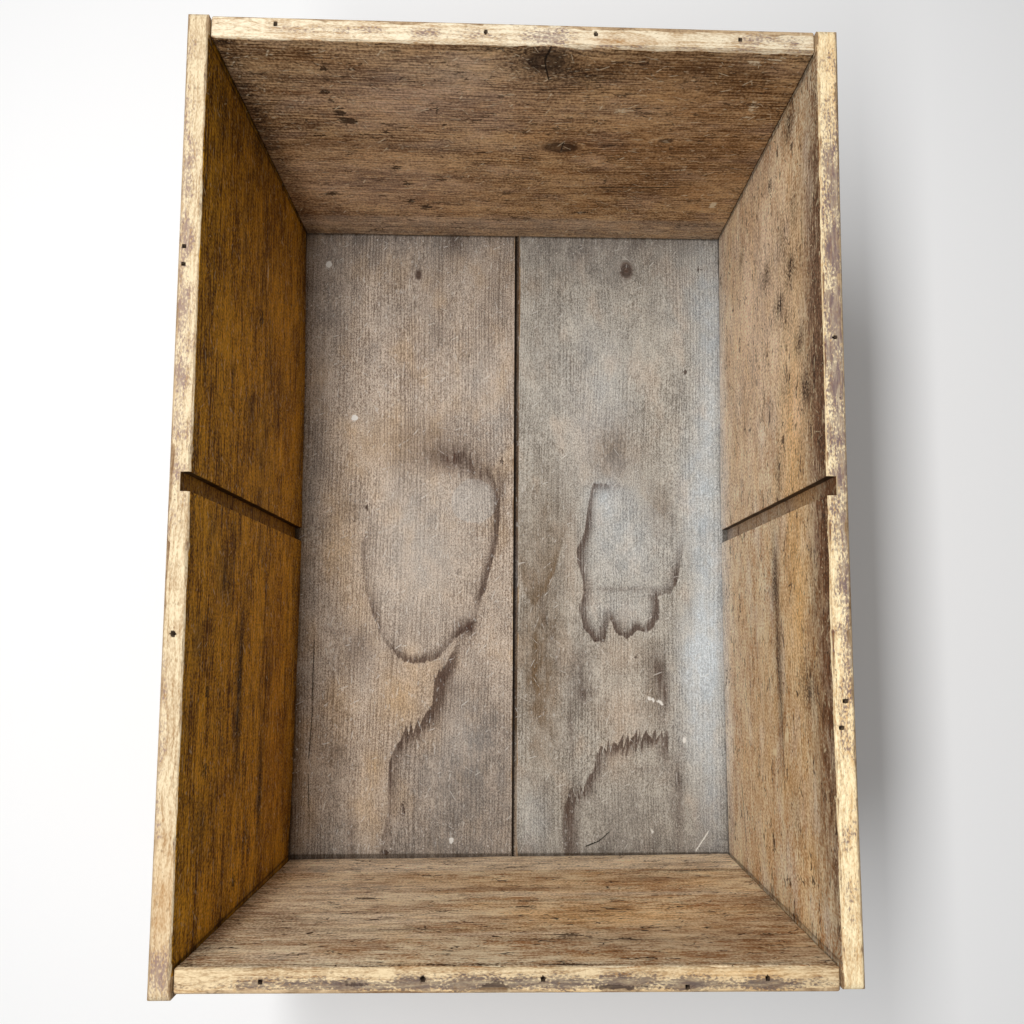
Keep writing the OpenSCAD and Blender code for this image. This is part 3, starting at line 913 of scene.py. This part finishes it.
def wall_grid(low, high, half, thickness, holes, extra=()):
    """The grid of a wall board, with the inside top edge as the first corner and closer stations at holes."""
    corners = [(high, 0.0), (high, thickness), (low, thickness), (low, 0.0)]
    points, round_place = section(corners, [RIM_STEP, BACK_STEP, FOOT_STEP, FACE_STEP], RIM_RADIUS)
    fine = [hole[0] + offset for hole in holes for offset in HOLE_OFFSETS]
    stations = places(-half, half, STATION_STEP, RIM_RADIUS, [*fine, *extra])
    along, across, depth = carry(points, stations, RIM_RADIUS)
    return along, across, depth, np.broadcast_to(round_place, along.shape)


def worn_rim(along, across, depth, past, wear, holes):
    """Bevels the inside top edge by its wear at each place, and sinks old nail holes into the rim."""
    worn = np.maximum(0.0, wear + np.minimum(past, 0.0))
    depth = np.maximum(depth, np.where(past < wear, BEVEL_DEPTH * worn, 0.0))
    near_rim = (past > RIM_START) & (past < RIM_END)
    sink = np.zeros(along.shape)
    for hole_along, hole_depth, radius in holes:
        reach = np.hypot(along - hole_along, depth - hole_depth) / radius
        sink = np.maximum(sink, HOLE_DEPTH * np.clip(HOLE_SLOPE - HOLE_SLOPE * reach, 0.0, 1.0))
    return across - np.where(near_rim, sink, 0.0), depth, sink * near_rim


def rough_face(along, across, past, height, seed):
    """Low lumps of the inside face, drawn out along the grain."""
    return np.where(past < 0.0, height * lumps(along / LUMP_LENGTH, across / LUMP_WIDTH, seed), 0.0)


def paint_wall(piece, along, across, depth, past, floor_gap, groove, sink, seed, look):
    """Paints the grain, dirt, lines and nail stains of a wall board, and the cleaner strip along the floor.
    What lies past the open end of a board is outside the crate and looks like its outer face."""
    ring, knot = growth_rings(along, across, depth, WALL_RING_LEAN, seed, look.get("knots", []))
    inside = past <= 0.0
    on_rim = (past > 0.0) & (past < look["rim"])
    dark, pale, warm, grey, brown, crisp = (
        np.where(inside, patches(along, across, look.get(tone, [])), 0.0)
        + np.where(on_rim, patches(along, depth, look.get("rim " + tone, [])), 0.0)
        for tone in TONES)
    strip_top, strip_amount = look.get("strip", (0.0, 0.0))
    strip = strip_amount * np.clip((strip_top - across) / STRIP_FADE, 0.0, 1.0)
    side, beyond = lines_near(along, across, look["lines"])
    nail_reach = np.full(along.shape, FAR)
    for nail_along, nail_across in look.get("nails", []):
        reach = np.hypot(along - nail_along, across - nail_across) - NAIL_STAIN_RADIUS
        nail_reach = np.minimum(nail_reach, reach)
    open_end = inside & (np.abs(along) > look["open_end"])
    shown_past = np.where(open_end, look["rim"] + look["wear"] + PAST_RIM, past + look["wear"])
    paint(piece, "grain", along, ring, depth)
    paint(piece, "place", along, across, depth)
    paint(piece, "edge", shown_past, np.where(inside & ~open_end, floor_gap, FAR), groove)
    paint(piece, "mark", np.where(inside, side, FAR), beyond, np.where(inside | on_rim, knot, KNOT_FAR))
    paint(piece, "stain", np.where(inside | on_rim, FAR, nail_reach), FAR, FAR)
    paint(piece, "tone", dark, pale + np.where(inside, strip, 0.0), warm)
    paint(piece, "haze", grey, brown, crisp + sink)


def end_board(name, node, direction, holes, wear, leans, lump_height, seed, settings, look):
    """An end board with a worn rim and a lumpy face. It leans outwards by the amounts given for the two ends
    of its foot and of its top, evenly between them."""
    along, across, depth, past = wall_grid(END_LOW, END_HIGH, END_HALF, END_THICKNESS, holes)
    worn = wear(along)
    across, depth, sink = worn_rim(along, across, depth, past, worn, holes)
    depth = depth + rough_face(along, across, past, lump_height, seed - 1)
    height = (across - END_LOW) / (END_HIGH - END_LOW)
    right = 0.5 + 0.5 * along / END_HALF
    foot, top = (lean[0] * (1.0 - right) + lean[1] * right for lean in leans)
    lean = foot * (1.0 - height) + top * height
    piece = solid(name, along, direction * (INNER_HALF_LENGTH + depth + lean), across)
    floor_gap = np.minimum(across - END_LOW, END_HALF - np.abs(along))
    look = look | {"rim": END_THICKNESS, "wear": worn, "open_end": END_HALF}
    paint_wall(piece, along, across, depth, past, floor_gap, 0.0, sink, seed, look)
    settle(piece, node, wood(node + "_wood", settings))


def back_wear(along):
    """Width of the worn edge of the back rim: hardly any at the knot, most at the right."""
    slow = np.interp(along, [-172, -60, 8, 12, 26, 30, 172], [0.6, 1.5, 1.0, 0.2, 0.2, 2.2, 2.8])
    return slow + splinters(along, count=26, length=16.0, depth=1.2, seed=31)


end_settings = floor_settings | {
    "Pale wood": (222, 186, 140), "Dark wood": (106, 72, 42), "Spacing": 3.2, "Fineness": 0.7,
    "Contrast": 0.55, "Fibres": 0.32, "Streaks": 0.26, "Mottle": 0.2, "Clouds": 0.3, "Speckle": 0.75,
    "Speckle scale": 0.85, "Speckle run": 0.09, "Grit": 0.6, "Hue": 0.3, "Dark patch": (58, 40, 28),
    "Pale patch": (186, 168, 150), "Warm patch": (168, 114, 56), "Grey patch": (202, 174, 154),
    "Brown patch": (106, 70, 36), "Dents": 0.75, "Scuffs": 0.45, "Scratches": 0.75, "Scratch width": 0.5,
    "Dust": 0.3, "Rim pale": (226, 212, 184), "Rim dark": (166, 132, 92), "Rim dirt": (124, 104, 100),
    "Rim width": END_THICKNESS}
back_holes = [(-136, 9, 1.2), (-17, 7.5, 1.2), (46, 8, 1.3), (129, 7, 1.2)]
back_look = {
    "knots": [(18, 291, 13, 1.15), (31, 180, 9, 1.7), (102, 193, 3.5, 1.7)],
    "dark": [
        (18, 290, 20, 16, 0.55), (42, 276, 24, 16, 0.6), (-165, 250, 26, 80, 0.25),
        (-166, 150, 7, 300, 0.4), (0, 304, 300, 4, 0.35), (5, 290, 14, 20, 0.3), (-150, 225, 20, 26, 0.15),
        (-128, 200, 30, 13, 0.25), (130, 270, 50, 30, 0.2), (-30, 24, 260, 30, 0.16),
        (-125, 275, 40, 24, 0.3)],
    "pale": [(-40, 278, 40, 22, 0.4), (-30, 178, 60, 9, 0.25), (70, 232, 30, 14, 0.2)],
    "warm": [
        (-140, 247, 26, 1.6, 0.8), (31, 178, 16, 8, 0.5), (80, 180, 50, 24, 0.3), (100, 250, 60, 30, 0.25)],
    "grey": [(-100, 110, 70, 50, 0.5), (-60, 240, 70, 40, 0.65), (-40, 40, 150, 14, 0.4)],
    "brown": [
        (-122, 178, 46, 7, 0.6), (110, 285, 60, 20, 0.5), (120, 170, 70, 90, 0.4), (30, 100, 90, 30, 0.2)],
    "crisp": [
        (-114, 277, 2.5, 3, 1), (-118, 249, 3.5, 2.5, 1), (-113, 222, 4, 7, 0.8), (-108, 211, 6, 4, 1),
        (-86, 197, 2, 2.5, 0.9), (-46, 209, 2, 2.5, 0.9), (-130, 189, 7, 3, 0.55), (-85, 144, 5, 6, 0.6),
        (-80, 116, 2.5, 8, 0.8), (-79, 83, 4, 6, 0.8), (-69, 71, 7, 4, 0.9), (-138, 94, 7, 4, 0.9),
        (-134, 130, 5, 2.5, 0.6), (-120, 132, 4, 4, 0.5), (-23, 168, 6, 2, 0.6), (-53, 123, 6, 2, 0.6),
        (-67, 264, 12, 4, 0.45), (108, 276, 7, 4, 0.6), (91, 287, 4, 3, 0.6), (53, 66, 7, 3, 0.6),
        (154, 84, 2.5, 6, -1), (154, 301, 6, 3, -0.7), (140, 295, 6, 3, -0.7), (121, 149, 2, 10, -0.5),
        (129, 99, 2, 10, -0.45), (150, 240, 2.5, 16, -0.45), (67, 234, 8, 4, -0.5)],
    "rim dark": [(19, 6, 14, 8, 0.8), (-50, 6, 90, 3, 0.35), (150, 6, 20, 5, 0.4)],
    "rim warm": [(60, 4, 30, 4, 0.2)],
    "strip": (54, 0.5),
    "lines": [
        (20, 306, 17, 292, 0.8), (17, 292, 20, 271, 0.6), (64, 115, 121, 117, 0.8), (32, 176, 33, 186, 0.5)],
}
end_board(
    "back_end_board", "back_end", direction=1.0, holes=back_holes, wear=back_wear, leans=BACK_LEANS,
    lump_height=BACK_LUMPS, seed=33, settings=end_settings, look=back_look)

# Front end: the same kind of board at the other end of the crate, nailed through the sides too. It is lighter
# where hands reached it and has painted light near its top left; dirt has darkened the outer half of its rim.
FRONT_LEANS = ((2.8, 0.0), (0.0, 1.8))
FRONT_LUMPS = 0.25


def rim_wear(along, mean, swing, run, count, length, depth, seed):
    """Width of the worn edge of a rim: slow swings about a mean, and splinters."""
    slow = mean + swing * lumps(along / run, 0.0 * along, seed)
    return slow + splinters(along, count, length, depth, seed + 1)


def front_wear(along):
    """Width of the worn edge of the front rim."""
    return rim_wear(along, mean=1.2, swing=0.8, run=60.0, count=30, length=14.0, depth=1.4, seed=41)


front_settings = end_settings | {
    "Pale wood": (255, 238, 202), "Dark wood": (178, 126, 78), "Mottle": 0.35, "Clouds": 0.5,
    "Contrast": 0.28, "Speckle": 1.1, "Speckle scale": 0.7, "Grit": 0.7, "Warm patch": (242, 192, 124),
    "Pale patch": (250, 232, 206), "Grey patch": (192, 168, 140), "Brown patch": (138, 92, 52),
    "Dark patch": (74, 50, 34), "Scuffs": 0.8, "Dents": 1.0, "Streaks": 0.4, "Scratches": 1.0,
    "Scratch width": 0.7, "Rim pale": (216, 194, 156), "Rim dark": (142, 106, 68), "Rim dirt": (88, 76, 74)}
front_holes = [(-128, 7, 1.2), (-45, 6, 1.4), (17, 6, 1.3), (134, 6, 1.3), (92, 10.5, 1.2)]
front_look = {
    "dark": [
        (-168, 150, 8, 300, 0.4), (-143, 209, 26, 20, 0.3), (-165, 263, 16, 24, 0.35),
        (130, 73, 36, 5, 0.75), (0, 303, 300, 3, 0.45), (165, 182, 12, 30, 0.35), (60, 255, 80, 4, 0.5),
        (-60, 232, 70, 4, 0.45), (20, 160, 60, 3, 0.4)],
    # The pale spot at (-122, 287) is painted light.
    "pale": [
        (-110, 160, 60, 120, 0.5), (-122, 287, 28, 8, 0.6), (60, 143, 110, 5, 0.7), (-60, 205, 40, 16, 0.4),
        (-100, 120, 60, 10, 0.4), (-20, 243, 60, 5, 0.5)],
    "warm": [(0, 110, 150, 20, 0.25), (60, 200, 70, 34, 0.6)],
    "grey": [(-110, 240, 40, 20, 0.25)],
    "brown": [
        (0, 125, 60, 6, 0.8), (80, 240, 70, 20, 0.4), (-60, 265, 60, 14, 0.15), (90, 275, 90, 24, 0.45),
        (150, 230, 34, 80, 0.3), (100, 100, 60, 8, 0.5)],
    "crisp": [
        (-95, 150, 10, 5, 0.8), (-40, 187, 8, 4, 0.6), (-161, 160, 8, 2, 0.7), (50, 189, 8, 6, 0.55),
        (9, 178, 9, 4, 0.6), (33, 246, 10, 5, 0.8), (137, 73, 16, 3, 0.6), (-59, 304, 34, 2, 0.7),
        (30, 303, 30, 2, 0.6), (-120, 172, 10, 2, 0.5), (-70, 191, 7, 4, -0.6), (-82, 225, 6, 4, -0.6),
        (110, 170, 8, 4, -0.5), (125, 186, 8, 3, -0.5), (140, 193, 8, 4, -0.5)],
    "rim dark": [(-90, 9, 70, 3.5, 0.8), (20, 8, 80, 4, 1.1), (120, 9, 50, 3, 0.8), (92, 10.5, 8, 4, 0.7)],
    "rim warm": [(120, 4, 40, 3, 0.3), (0, 13, 300, 2, 0.5)],
    "rim crisp": [(-7, 10, 7, 3, 1.3), (-80, 8, 14, 1.5, 0.8), (60, 10, 18, 1.5, 0.8)],
    "strip": (68, 0.75),
    "lines": [(140, 250, 165, 246, 0.5)],
}
end_board(
    "front_end_board", "front_end", direction=-1.0, holes=front_holes, wear=front_wear, leans=FRONT_LEANS,
    lump_height=FRONT_LUMPS, seed=44, settings=front_settings, look=front_look)

# Left side: a long planed board, amber brown and a little oily inside, nailed over the ends. A housing was
# cut across its inside for the edge of a divider, and its rim is worn pale and splintered.
SIDE_LOW, SIDE_HIGH = 12.0, 312.0
SIDE_THICKNESS = 12.0
HOUSING_HALF = 5.25
HOUSING_DEPTH = 5.5
HOUSING_SLOPE = 0.15
HOUSING_STEPS = np.array([0.0, 0.33, 0.67, 1.0])
HOUSING_RIM = 0.1
CORNER_RADIUS = 5.0
OUTER_WEAR = 3.0
SIDE_LUMPS = 0.2
OPEN_END = 255.0
END_NAIL_LINE = 257.5
LEFT_HALF = 267.0
corner_nail_heights = np.linspace(40.0, 280.0, 5)
side_nails = [(end, height) for end in (-END_NAIL_LINE, END_NAIL_LINE) for height in corner_nail_heights]


def side_board(name, node, direction, half, holes, wear, bows, seed, settings, look):
    """A side board: housed across the middle, bowed slightly inwards at its foot and top, with its top
    corners and the outer edge of its rim worn round."""
    wall = HOUSING_HALF + HOUSING_SLOPE * HOUSING_STEPS
    along, across, depth, past = wall_grid(
        SIDE_LOW, SIDE_HIGH, half, SIDE_THICKNESS, holes, [*wall, *-wall])
    worn = wear(along)
    across, depth, sink = worn_rim(along, across, depth, past, worn, holes)
    slope = (HOUSING_HALF + HOUSING_SLOPE - np.abs(along)) / HOUSING_SLOPE
    groove = HOUSING_DEPTH * np.clip(slope, 0.0, 1.0)
    housed = np.maximum(depth, groove)
    short = np.maximum(0.0, CORNER_RADIUS - (half - np.abs(along)))
    corner = CORNER_RADIUS - np.sqrt(np.maximum(0.0, CORNER_RADIUS ** 2 - short ** 2))
    across = np.minimum(across, SIDE_HIGH - corner)
    outer = np.clip(depth - SIDE_THICKNESS + OUTER_WEAR, 0.0, OUTER_WEAR)
    across = np.minimum(across, SIDE_HIGH - OUTER_WEAR + np.sqrt(OUTER_WEAR ** 2 - outer ** 2))
    share = (across - SIDE_LOW) / (SIDE_HIGH - SIDE_LOW)
    bow = bows[0] * (1.0 - share) + bows[1] * share
    bow = bow * np.maximum(0.0, 1.0 - (along / INNER_HALF_LENGTH) ** 2)
    rough = rough_face(along, across, past, SIDE_LUMPS, seed + 3)
    piece = solid(name, direction * (INNER_HALF_WIDTH + housed + rough - bow), along, across)
    floor_gap = np.minimum(across - SIDE_LOW, np.abs(INNER_HALF_LENGTH - np.abs(along)))
    in_groove = np.where((past < HOUSING_RIM) | (depth < groove), groove, 0.0)
    look = look | {"nails": side_nails, "rim": SIDE_THICKNESS, "wear": worn, "open_end": OPEN_END}
    paint_wall(piece, along, across, depth, past, floor_gap, in_groove, sink, seed, look)
    settle(piece, node, wood(name + "_wood", settings))


def left_wear(along):
    """Width of the worn edge of the left rim, with long splinters."""
    return rim_wear(along, mean=0.8, swing=0.5, run=50.0, count=34, length=26.0, depth=2.2, seed=51)


left_settings = end_settings | {
    "Pale wood": (224, 164, 42), "Dark wood": (94, 55, 8), "Hue": 0.15, "Spacing": 6.0, "Fineness": 0.6,
    "Contrast": 0.36, "Fibres": 0.45, "Streaks": 0.25, "Mottle": 0.3, "Clouds": 0.35, "Speckle": 0.75,
    "Speckle scale": 0.6, "Speckle run": 0.08, "Grit": 0.7, "Dark patch": (46, 26, 6),
    "Pale patch": (200, 150, 64), "Warm patch": (168, 108, 20), "Grey patch": (108, 86, 46),
    "Brown patch": (84, 48, 8), "Dents": 0.65, "Scuffs": 0.35, "Scratches": 0.45, "Scratch width": 0.8,
    "Rim pale": (218, 200, 166), "Rim dark": (152, 118, 80), "Rim dirt": (136, 114, 108),
    "Rim width": SIDE_THICKNESS}
left_holes = [(120, 8.5, 1.2), (130, 8.5, 1.2), (-81, 6, 1.4)]
left_look = {
    "dark": [
        (0, 308, 400, 5, 0.4), (-115, 194, 46, 7, 1), (-188, 126, 34, 6, 0.9), (-191, 272, 20, 18, 0.45),
        (229, 282, 20, 20, 0.5), (-60, 225, 40, 9, 0.25), (150, 285, 60, 12, 0.25), (-20, 18, 400, 26, 0.5),
        (250, 200, 50, 120, 0.3)],
    "pale": [(174, 222, 14, 8, 0.5), (60, 150, 120, 30, 0.1)],
    "warm": [(-120, 90, 90, 40, 0.35), (-200, 60, 50, 60, 0.35), (80, 60, 90, 40, 0.2)],
    "grey": [
        (-47, 242, 16, 12, 0.6), (-85, 287, 14, 10, 0.5), (-20, 265, 10, 10, 0.4), (30, 150, 40, 24, 0.25)],
    "brown": [(-115, 194, 50, 8, 0.4), (-165, 125, 50, 8, 0.4), (230, 190, 60, 130, 0.35)],
    "crisp": [
        (-140, 193, 24, 3, 0.6), (-113, 267, 7, 8, 0.5), (-157, 261, 8, 10, 0.5), (-213, 159, 9, 8, 0.55),
        (-233, 188, 7, 8, 0.55), (134, 165, 9, 6, 0.6), (-40, 150, 8, 5, 0.5), (60, 215, 12, 4, 0.5),
        (170, 150, 9, 3, -0.5)],
    "rim dark": [
        (120, 8, 90, 5, 0.5), (40, 8, 60, 6, 0.45), (200, 9, 50, 4, 0.35), (-255, 7, 14, 6, 0.7),
        (-150, 10, 60, 3, 0.35)],
    "rim warm": [(-220, 6, 40, 8, 0.3)],
    "lines": [(-91, 111, -139, 123, 1), (-150, 300, -120, 298, 0.6)],
}
side_board(
    "left_side_board", "left_side", direction=-1.0, half=LEFT_HALF, holes=left_holes,
    wear=left_wear, bows=(3.2, 0.3), seed=53, settings=left_settings, look=left_look)

# Right side: the opposite side, cut from paler wood and better lit, tan with many dark flecks, a dark band
# below the rim and a grey strip above the floor that oil never reached.
RIGHT_HALF = 264.5


def right_wear(along):
    """Width of the worn edge of the right rim, with many short splinters."""
    return rim_wear(along, mean=1.0, swing=0.6, run=40.0, count=40, length=18.0, depth=2.2, seed=61)


right_settings = left_settings | {
    "Pale wood": (255, 246, 212), "Dark wood": (208, 150, 96), "Fibres": 0.3, "Streaks": 0.2,
    "Contrast": 0.2, "Mottle": 0.28, "Clouds": 0.36, "Hue": 0.35, "Speckle": 1.0,
    "Speckle scale": 0.8, "Speckle run": 0.12, "Grit": 1.0, "Spacing": 3.2, "Dents": 0.9,
    "Dark patch": (76, 54, 42), "Pale patch": (254, 226, 196), "Warm patch": (250, 200, 128),
    "Grey patch": (248, 242, 234), "Brown patch": (116, 76, 46), "Scuffs": 0.6, "Scratches": 0.5,
    "Rim pale": (252, 234, 192), "Rim dark": (192, 150, 98), "Rim dirt": (108, 90, 94)}
right_holes = [(-116, 6.5, 1.3), (-130, 4, 1.2), (83, 6.5, 1.1)]
right_look = {
    "dark": [
        (239, 248, 12, 16, 0.8), (200, 101, 8, 8, 0.5), (64, 274, 11, 12, 0.9), (131, 215, 9, 12, 0.8),
        (-45, 190, 26, 9, 0.8), (-105, 196, 34, 6, 0.7), (162, 182, 10, 14, 0.75), (145, 245, 10, 14, 0.8),
        (94, 261, 9, 12, 0.8), (-111, 264, 16, 16, 0.7), (180, 255, 14, 8, 0.5), (20, 205, 16, 8, 0.5),
        (-190, 230, 18, 8, 0.35), (-60, 280, 20, 6, 0.3), (170, 225, 16, 16, 0.45), (115, 235, 14, 16, 0.4),
        (75, 225, 12, 16, 0.4), (110, 302, 170, 14, 0.4), (-120, 309, 200, 5, 0.35)],
    "pale": [
        (172, 237, 10, 10, 0.4), (52, 254, 18, 14, 0.4), (0, 60, 400, 30, 0.2), (0, 110, 400, 60, 0.15),
        (140, 160, 120, 100, 0.85)],
    "warm": [
        (52, 252, 30, 22, 0.7), (60, 235, 150, 34, 0.6), (150, 262, 60, 26, 0.3), (-150, 150, 70, 60, 0.35),
        (-60, 250, 80, 34, 0.5), (-190, 250, 60, 30, 0.35)],
    "grey": [(40, 14, 240, 30, 1.1), (-180, 16, 80, 18, 0.4)],
    "brown": [
        (110, 302, 170, 36, 1), (-130, 307, 180, 24, 0.75), (-140, 190, 130, 110, 0.2),
        (-70, 195, 80, 9, 0.5), (-170, 280, 70, 20, 0.3)],
    "crisp": [
        (222, 252, 4, 5, 0.8), (220, 193, 8, 7, 0.55), (42, 218, 5, 7, 0.7), (36, 284, 7, 5, 0.6),
        (131, 215, 6, 6, 0.6), (-156, 178, 3, 5, -1), (-143, 210, 5, 5, -0.8), (-232, 205, 3, 8, 0.7),
        (-225, 235, 3, 9, 0.6), (-220, 262, 3, 8, 0.7), (-216, 167, 8, 6, 0.6), (190, 215, 9, 4, 0.5),
        (80, 170, 9, 4, 0.45), (10, 130, 9, 4, 0.45)],
    "rim dark": [(190, 8, 60, 8, 0.7), (70, 7.5, 90, 9, 1.1), (-60, 9, 60, 5, 0.8), (-180, 6, 60, 6, 0.25)],
    "rim warm": [(-150, 9, 80, 4, 0.2), (230, 9, 40, 4, 0.3)],
    "rim brown": [(130, 7, 120, 9, 0.35), (-20, 7, 40, 6, 0.15)],
    "strip": (52, 0.1),
    "lines": [(-190, 70, -229, 81, 0.8), (-163, 200, -120, 197, 0.8)],
}
side_board(
    "right_side_board", "right_side", direction=1.0, half=RIGHT_HALF, holes=right_holes,
    wear=right_wear, bows=(2.2, 1.4), seed=63, settings=right_settings, look=right_look)

# Nails: round wire nails with flat heads, driven flush and rusted dark brown. Five hold each corner, and rows
# of them hold the floor to the walls from below.
HEAD_SINK = 0.4
HEAD_THICKNESS = 1.2
HEAD_TURNED = [(0.0, 0.4), (0.0, 2.2), (0.1, 2.7), (0.35, 3.0), (HEAD_THICKNESS, 2.8)]
HEAD_OVAL = 0.04
HEAD_TURN = 6.0
SHANK_START = 2.0
SHANK_RADIUS = 1.4
POINT_LENGTH = 5.0
POINT_RADIUS = 0.15
NAIL_SIDES = 20
NAIL_SHARP = math.radians(45.0)
CORNER_NAIL = 50.0
FLOOR_NAIL = 42.0
RUST_SCALE = 900.0
RUST_BUMP = 0.2
SIDE_NAIL_LINE = 178.5
END_ROW = (-120.1, -74.45, -28.8, 34.8, 77.45, 120.1)
SIDE_ROW = (-201.0, -65.25, 65.25, 201.0)
UP = (0.0, 0.0, 1.0)
rust, rust_tree = new_material("rusty_iron")
rust_place = Wire(rust_tree.nodes.new("ShaderNodeTexCoord").outputs["Object"])
rust_grain = rust_place.stretched(RUST_SCALE, RUST_SCALE, RUST_SCALE).noise(4.0)
set_shader(rust_tree, {
    "Base Color": rust_grain.spread().blend(tint(58, 50, 48), tint(112, 70, 46)),
    "Roughness": rust_grain * 0.4 + 0.45, "Metallic": rust_grain.fall(0.3, 0.6) * 0.7,
    "Normal": bumped(rust_tree, rust_grain, RUST_BUMP)})


def nail_group(node, heads, direction, length, seed):
    """Nails as turned shapes: a radius for each depth below the head, carried round each nail's own axis."""
    depth, radius = np.array([
        *HEAD_TURNED, (HEAD_THICKNESS, SHANK_RADIUS), (SHANK_START, SHANK_RADIUS),
        (length - POINT_LENGTH, SHANK_RADIUS), (length, POINT_RADIUS)]).T
    turn = np.linspace(0.0, 2.0 * math.pi, NAIL_SIDES, endpoint=False)
    chance = np.random.default_rng(seed)
    axis = np.array(direction)
    side = np.array([0.0, 1.0, 0.0])
    other = np.cross(axis, side)
    index = np.arange(depth.size * NAIL_SIDES).reshape(-1, NAIL_SIDES)
    corners, faces = [], []
    for nail, head in enumerate(heads):
        uneven = 1.0 - HEAD_OVAL * (1.0 + np.cos(2.0 * turn + chance.uniform(0.0, HEAD_TURN)))
        ring = np.outer(radius, uneven)[..., None] * (
            np.cos(turn)[:, None] * side + np.sin(turn)[:, None] * other)
        spin = np.array(head) + depth[:, None, None] * axis + ring
        faces += tube_faces(index + nail * index.size)
        corners.append(spin.reshape(-1, 3))
    piece = mesh_piece(node + "_iron", np.concatenate(corners) * MM, faces, NAIL_SHARP)
    settle(piece, node, rust)


for end_name, end_place in (("back", END_NAIL_LINE), ("front", -END_NAIL_LINE)):
    for side_name, side in (("left", -1.0), ("right", 1.0)):
        heads = [(side * (OUTER_EDGE - HEAD_SINK), end_place, height) for height in corner_nail_heights]
        nail_group(f"{end_name}_{side_name}_corner_nails", heads, (-side, 0.0, 0.0), CORNER_NAIL, seed=71)
    heads = [(x, end_place, HEAD_SINK) for x in END_ROW]
    nail_group(f"{end_name}_floor_nails", heads, UP, FLOOR_NAIL, seed=72)
for side_name, side_place in (("left", -SIDE_NAIL_LINE), ("right", SIDE_NAIL_LINE)):
    heads = [(side_place, y, HEAD_SINK) for y in SIDE_ROW]
    nail_group(f"{side_name}_floor_nails", heads, UP, FLOOR_NAIL, seed=73)

# Broken lid nail: the shank of a nail that snapped off when the lid was levered away, left in the right rim.
# It keeps the shape of its solid, and its broken end is still bright.
bright_iron, bright_tree = new_material("broken_iron")
set_shader(bright_tree, {"Base Color": tint(176, 172, 168), "Roughness": 0.4, "Metallic": 0.8})
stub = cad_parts["broken_lid_nail"]
stub.data.materials.clear()
stub.data.materials.append(bright_iron)

# Ground, light and camera: a plain white ground in an even white room, a long lamp high above the left of the
# crate, and the camera above it a little in front of the middle, looking down into it.
GROUND_HALF = 4.0
ROOM_LIGHT = 0.32
ROOM_SEEN_MORE = 0.68
GROUND_WHITE = (0.95, 0.95, 0.95, 1.0)
LIGHT_WHITE = (1.0, 1.0, 1.0, 1.0)
ground_corners = [
    (-GROUND_HALF, -GROUND_HALF, 0.0), (GROUND_HALF, -GROUND_HALF, 0.0), (GROUND_HALF, GROUND_HALF, 0.0),
    (-GROUND_HALF, GROUND_HALF, 0.0)]
ground_data = bpy.data.meshes.new("ground")
ground_data.from_pydata(ground_corners, [], [(0, 1, 2, 3)])
ground = bpy.data.objects.new("ground", ground_data)
bpy.context.scene.collection.objects.link(ground)
ground_paper, ground_tree = new_material("ground_paper")
set_shader(ground_tree, {"Base Color": GROUND_WHITE, "Roughness": 0.9, "Specular IOR Level": 0.0})
ground_data.materials.append(ground_paper)

key_lamp = bpy.data.lights.new("key_light", "AREA")
key_lamp.shape = "RECTANGLE"
key_lamp.size = 0.18
key_lamp.size_y = 1.2
key_lamp.energy = 14.2
key_light = bpy.data.objects.new("key_light", key_lamp)
key_light.location = (-0.26, 0.06, 1.25)
key_light.visible_camera = False
bpy.context.scene.collection.objects.link(key_light)
world = bpy.data.worlds.new("soft_room")
bpy.context.scene.world = world
world.use_nodes = True
room = world.node_tree.nodes["Background"]
ray = world.node_tree.nodes.new("ShaderNodeLightPath")
feed(room.inputs["Color"], LIGHT_WHITE)
feed(room.inputs["Strength"], Wire(ray.outputs["Is Camera Ray"]) * ROOM_SEEN_MORE + ROOM_LIGHT)

camera_data = bpy.data.cameras.new("camera")
camera_data.sensor_width = 36.0
camera_data.lens = 38.68
camera_data.shift_x = -0.0371
camera = bpy.data.objects.new("camera", camera_data)
camera.location = (-0.99 * MM, -83.61 * MM, 900.32 * MM)
camera.rotation_euler = (math.radians(6.607), math.radians(-2.05), math.radians(0.101))
bpy.context.scene.collection.objects.link(camera)
bpy.context.scene.camera = camera
bpy.context.scene.view_settings.view_transform = "Standard"
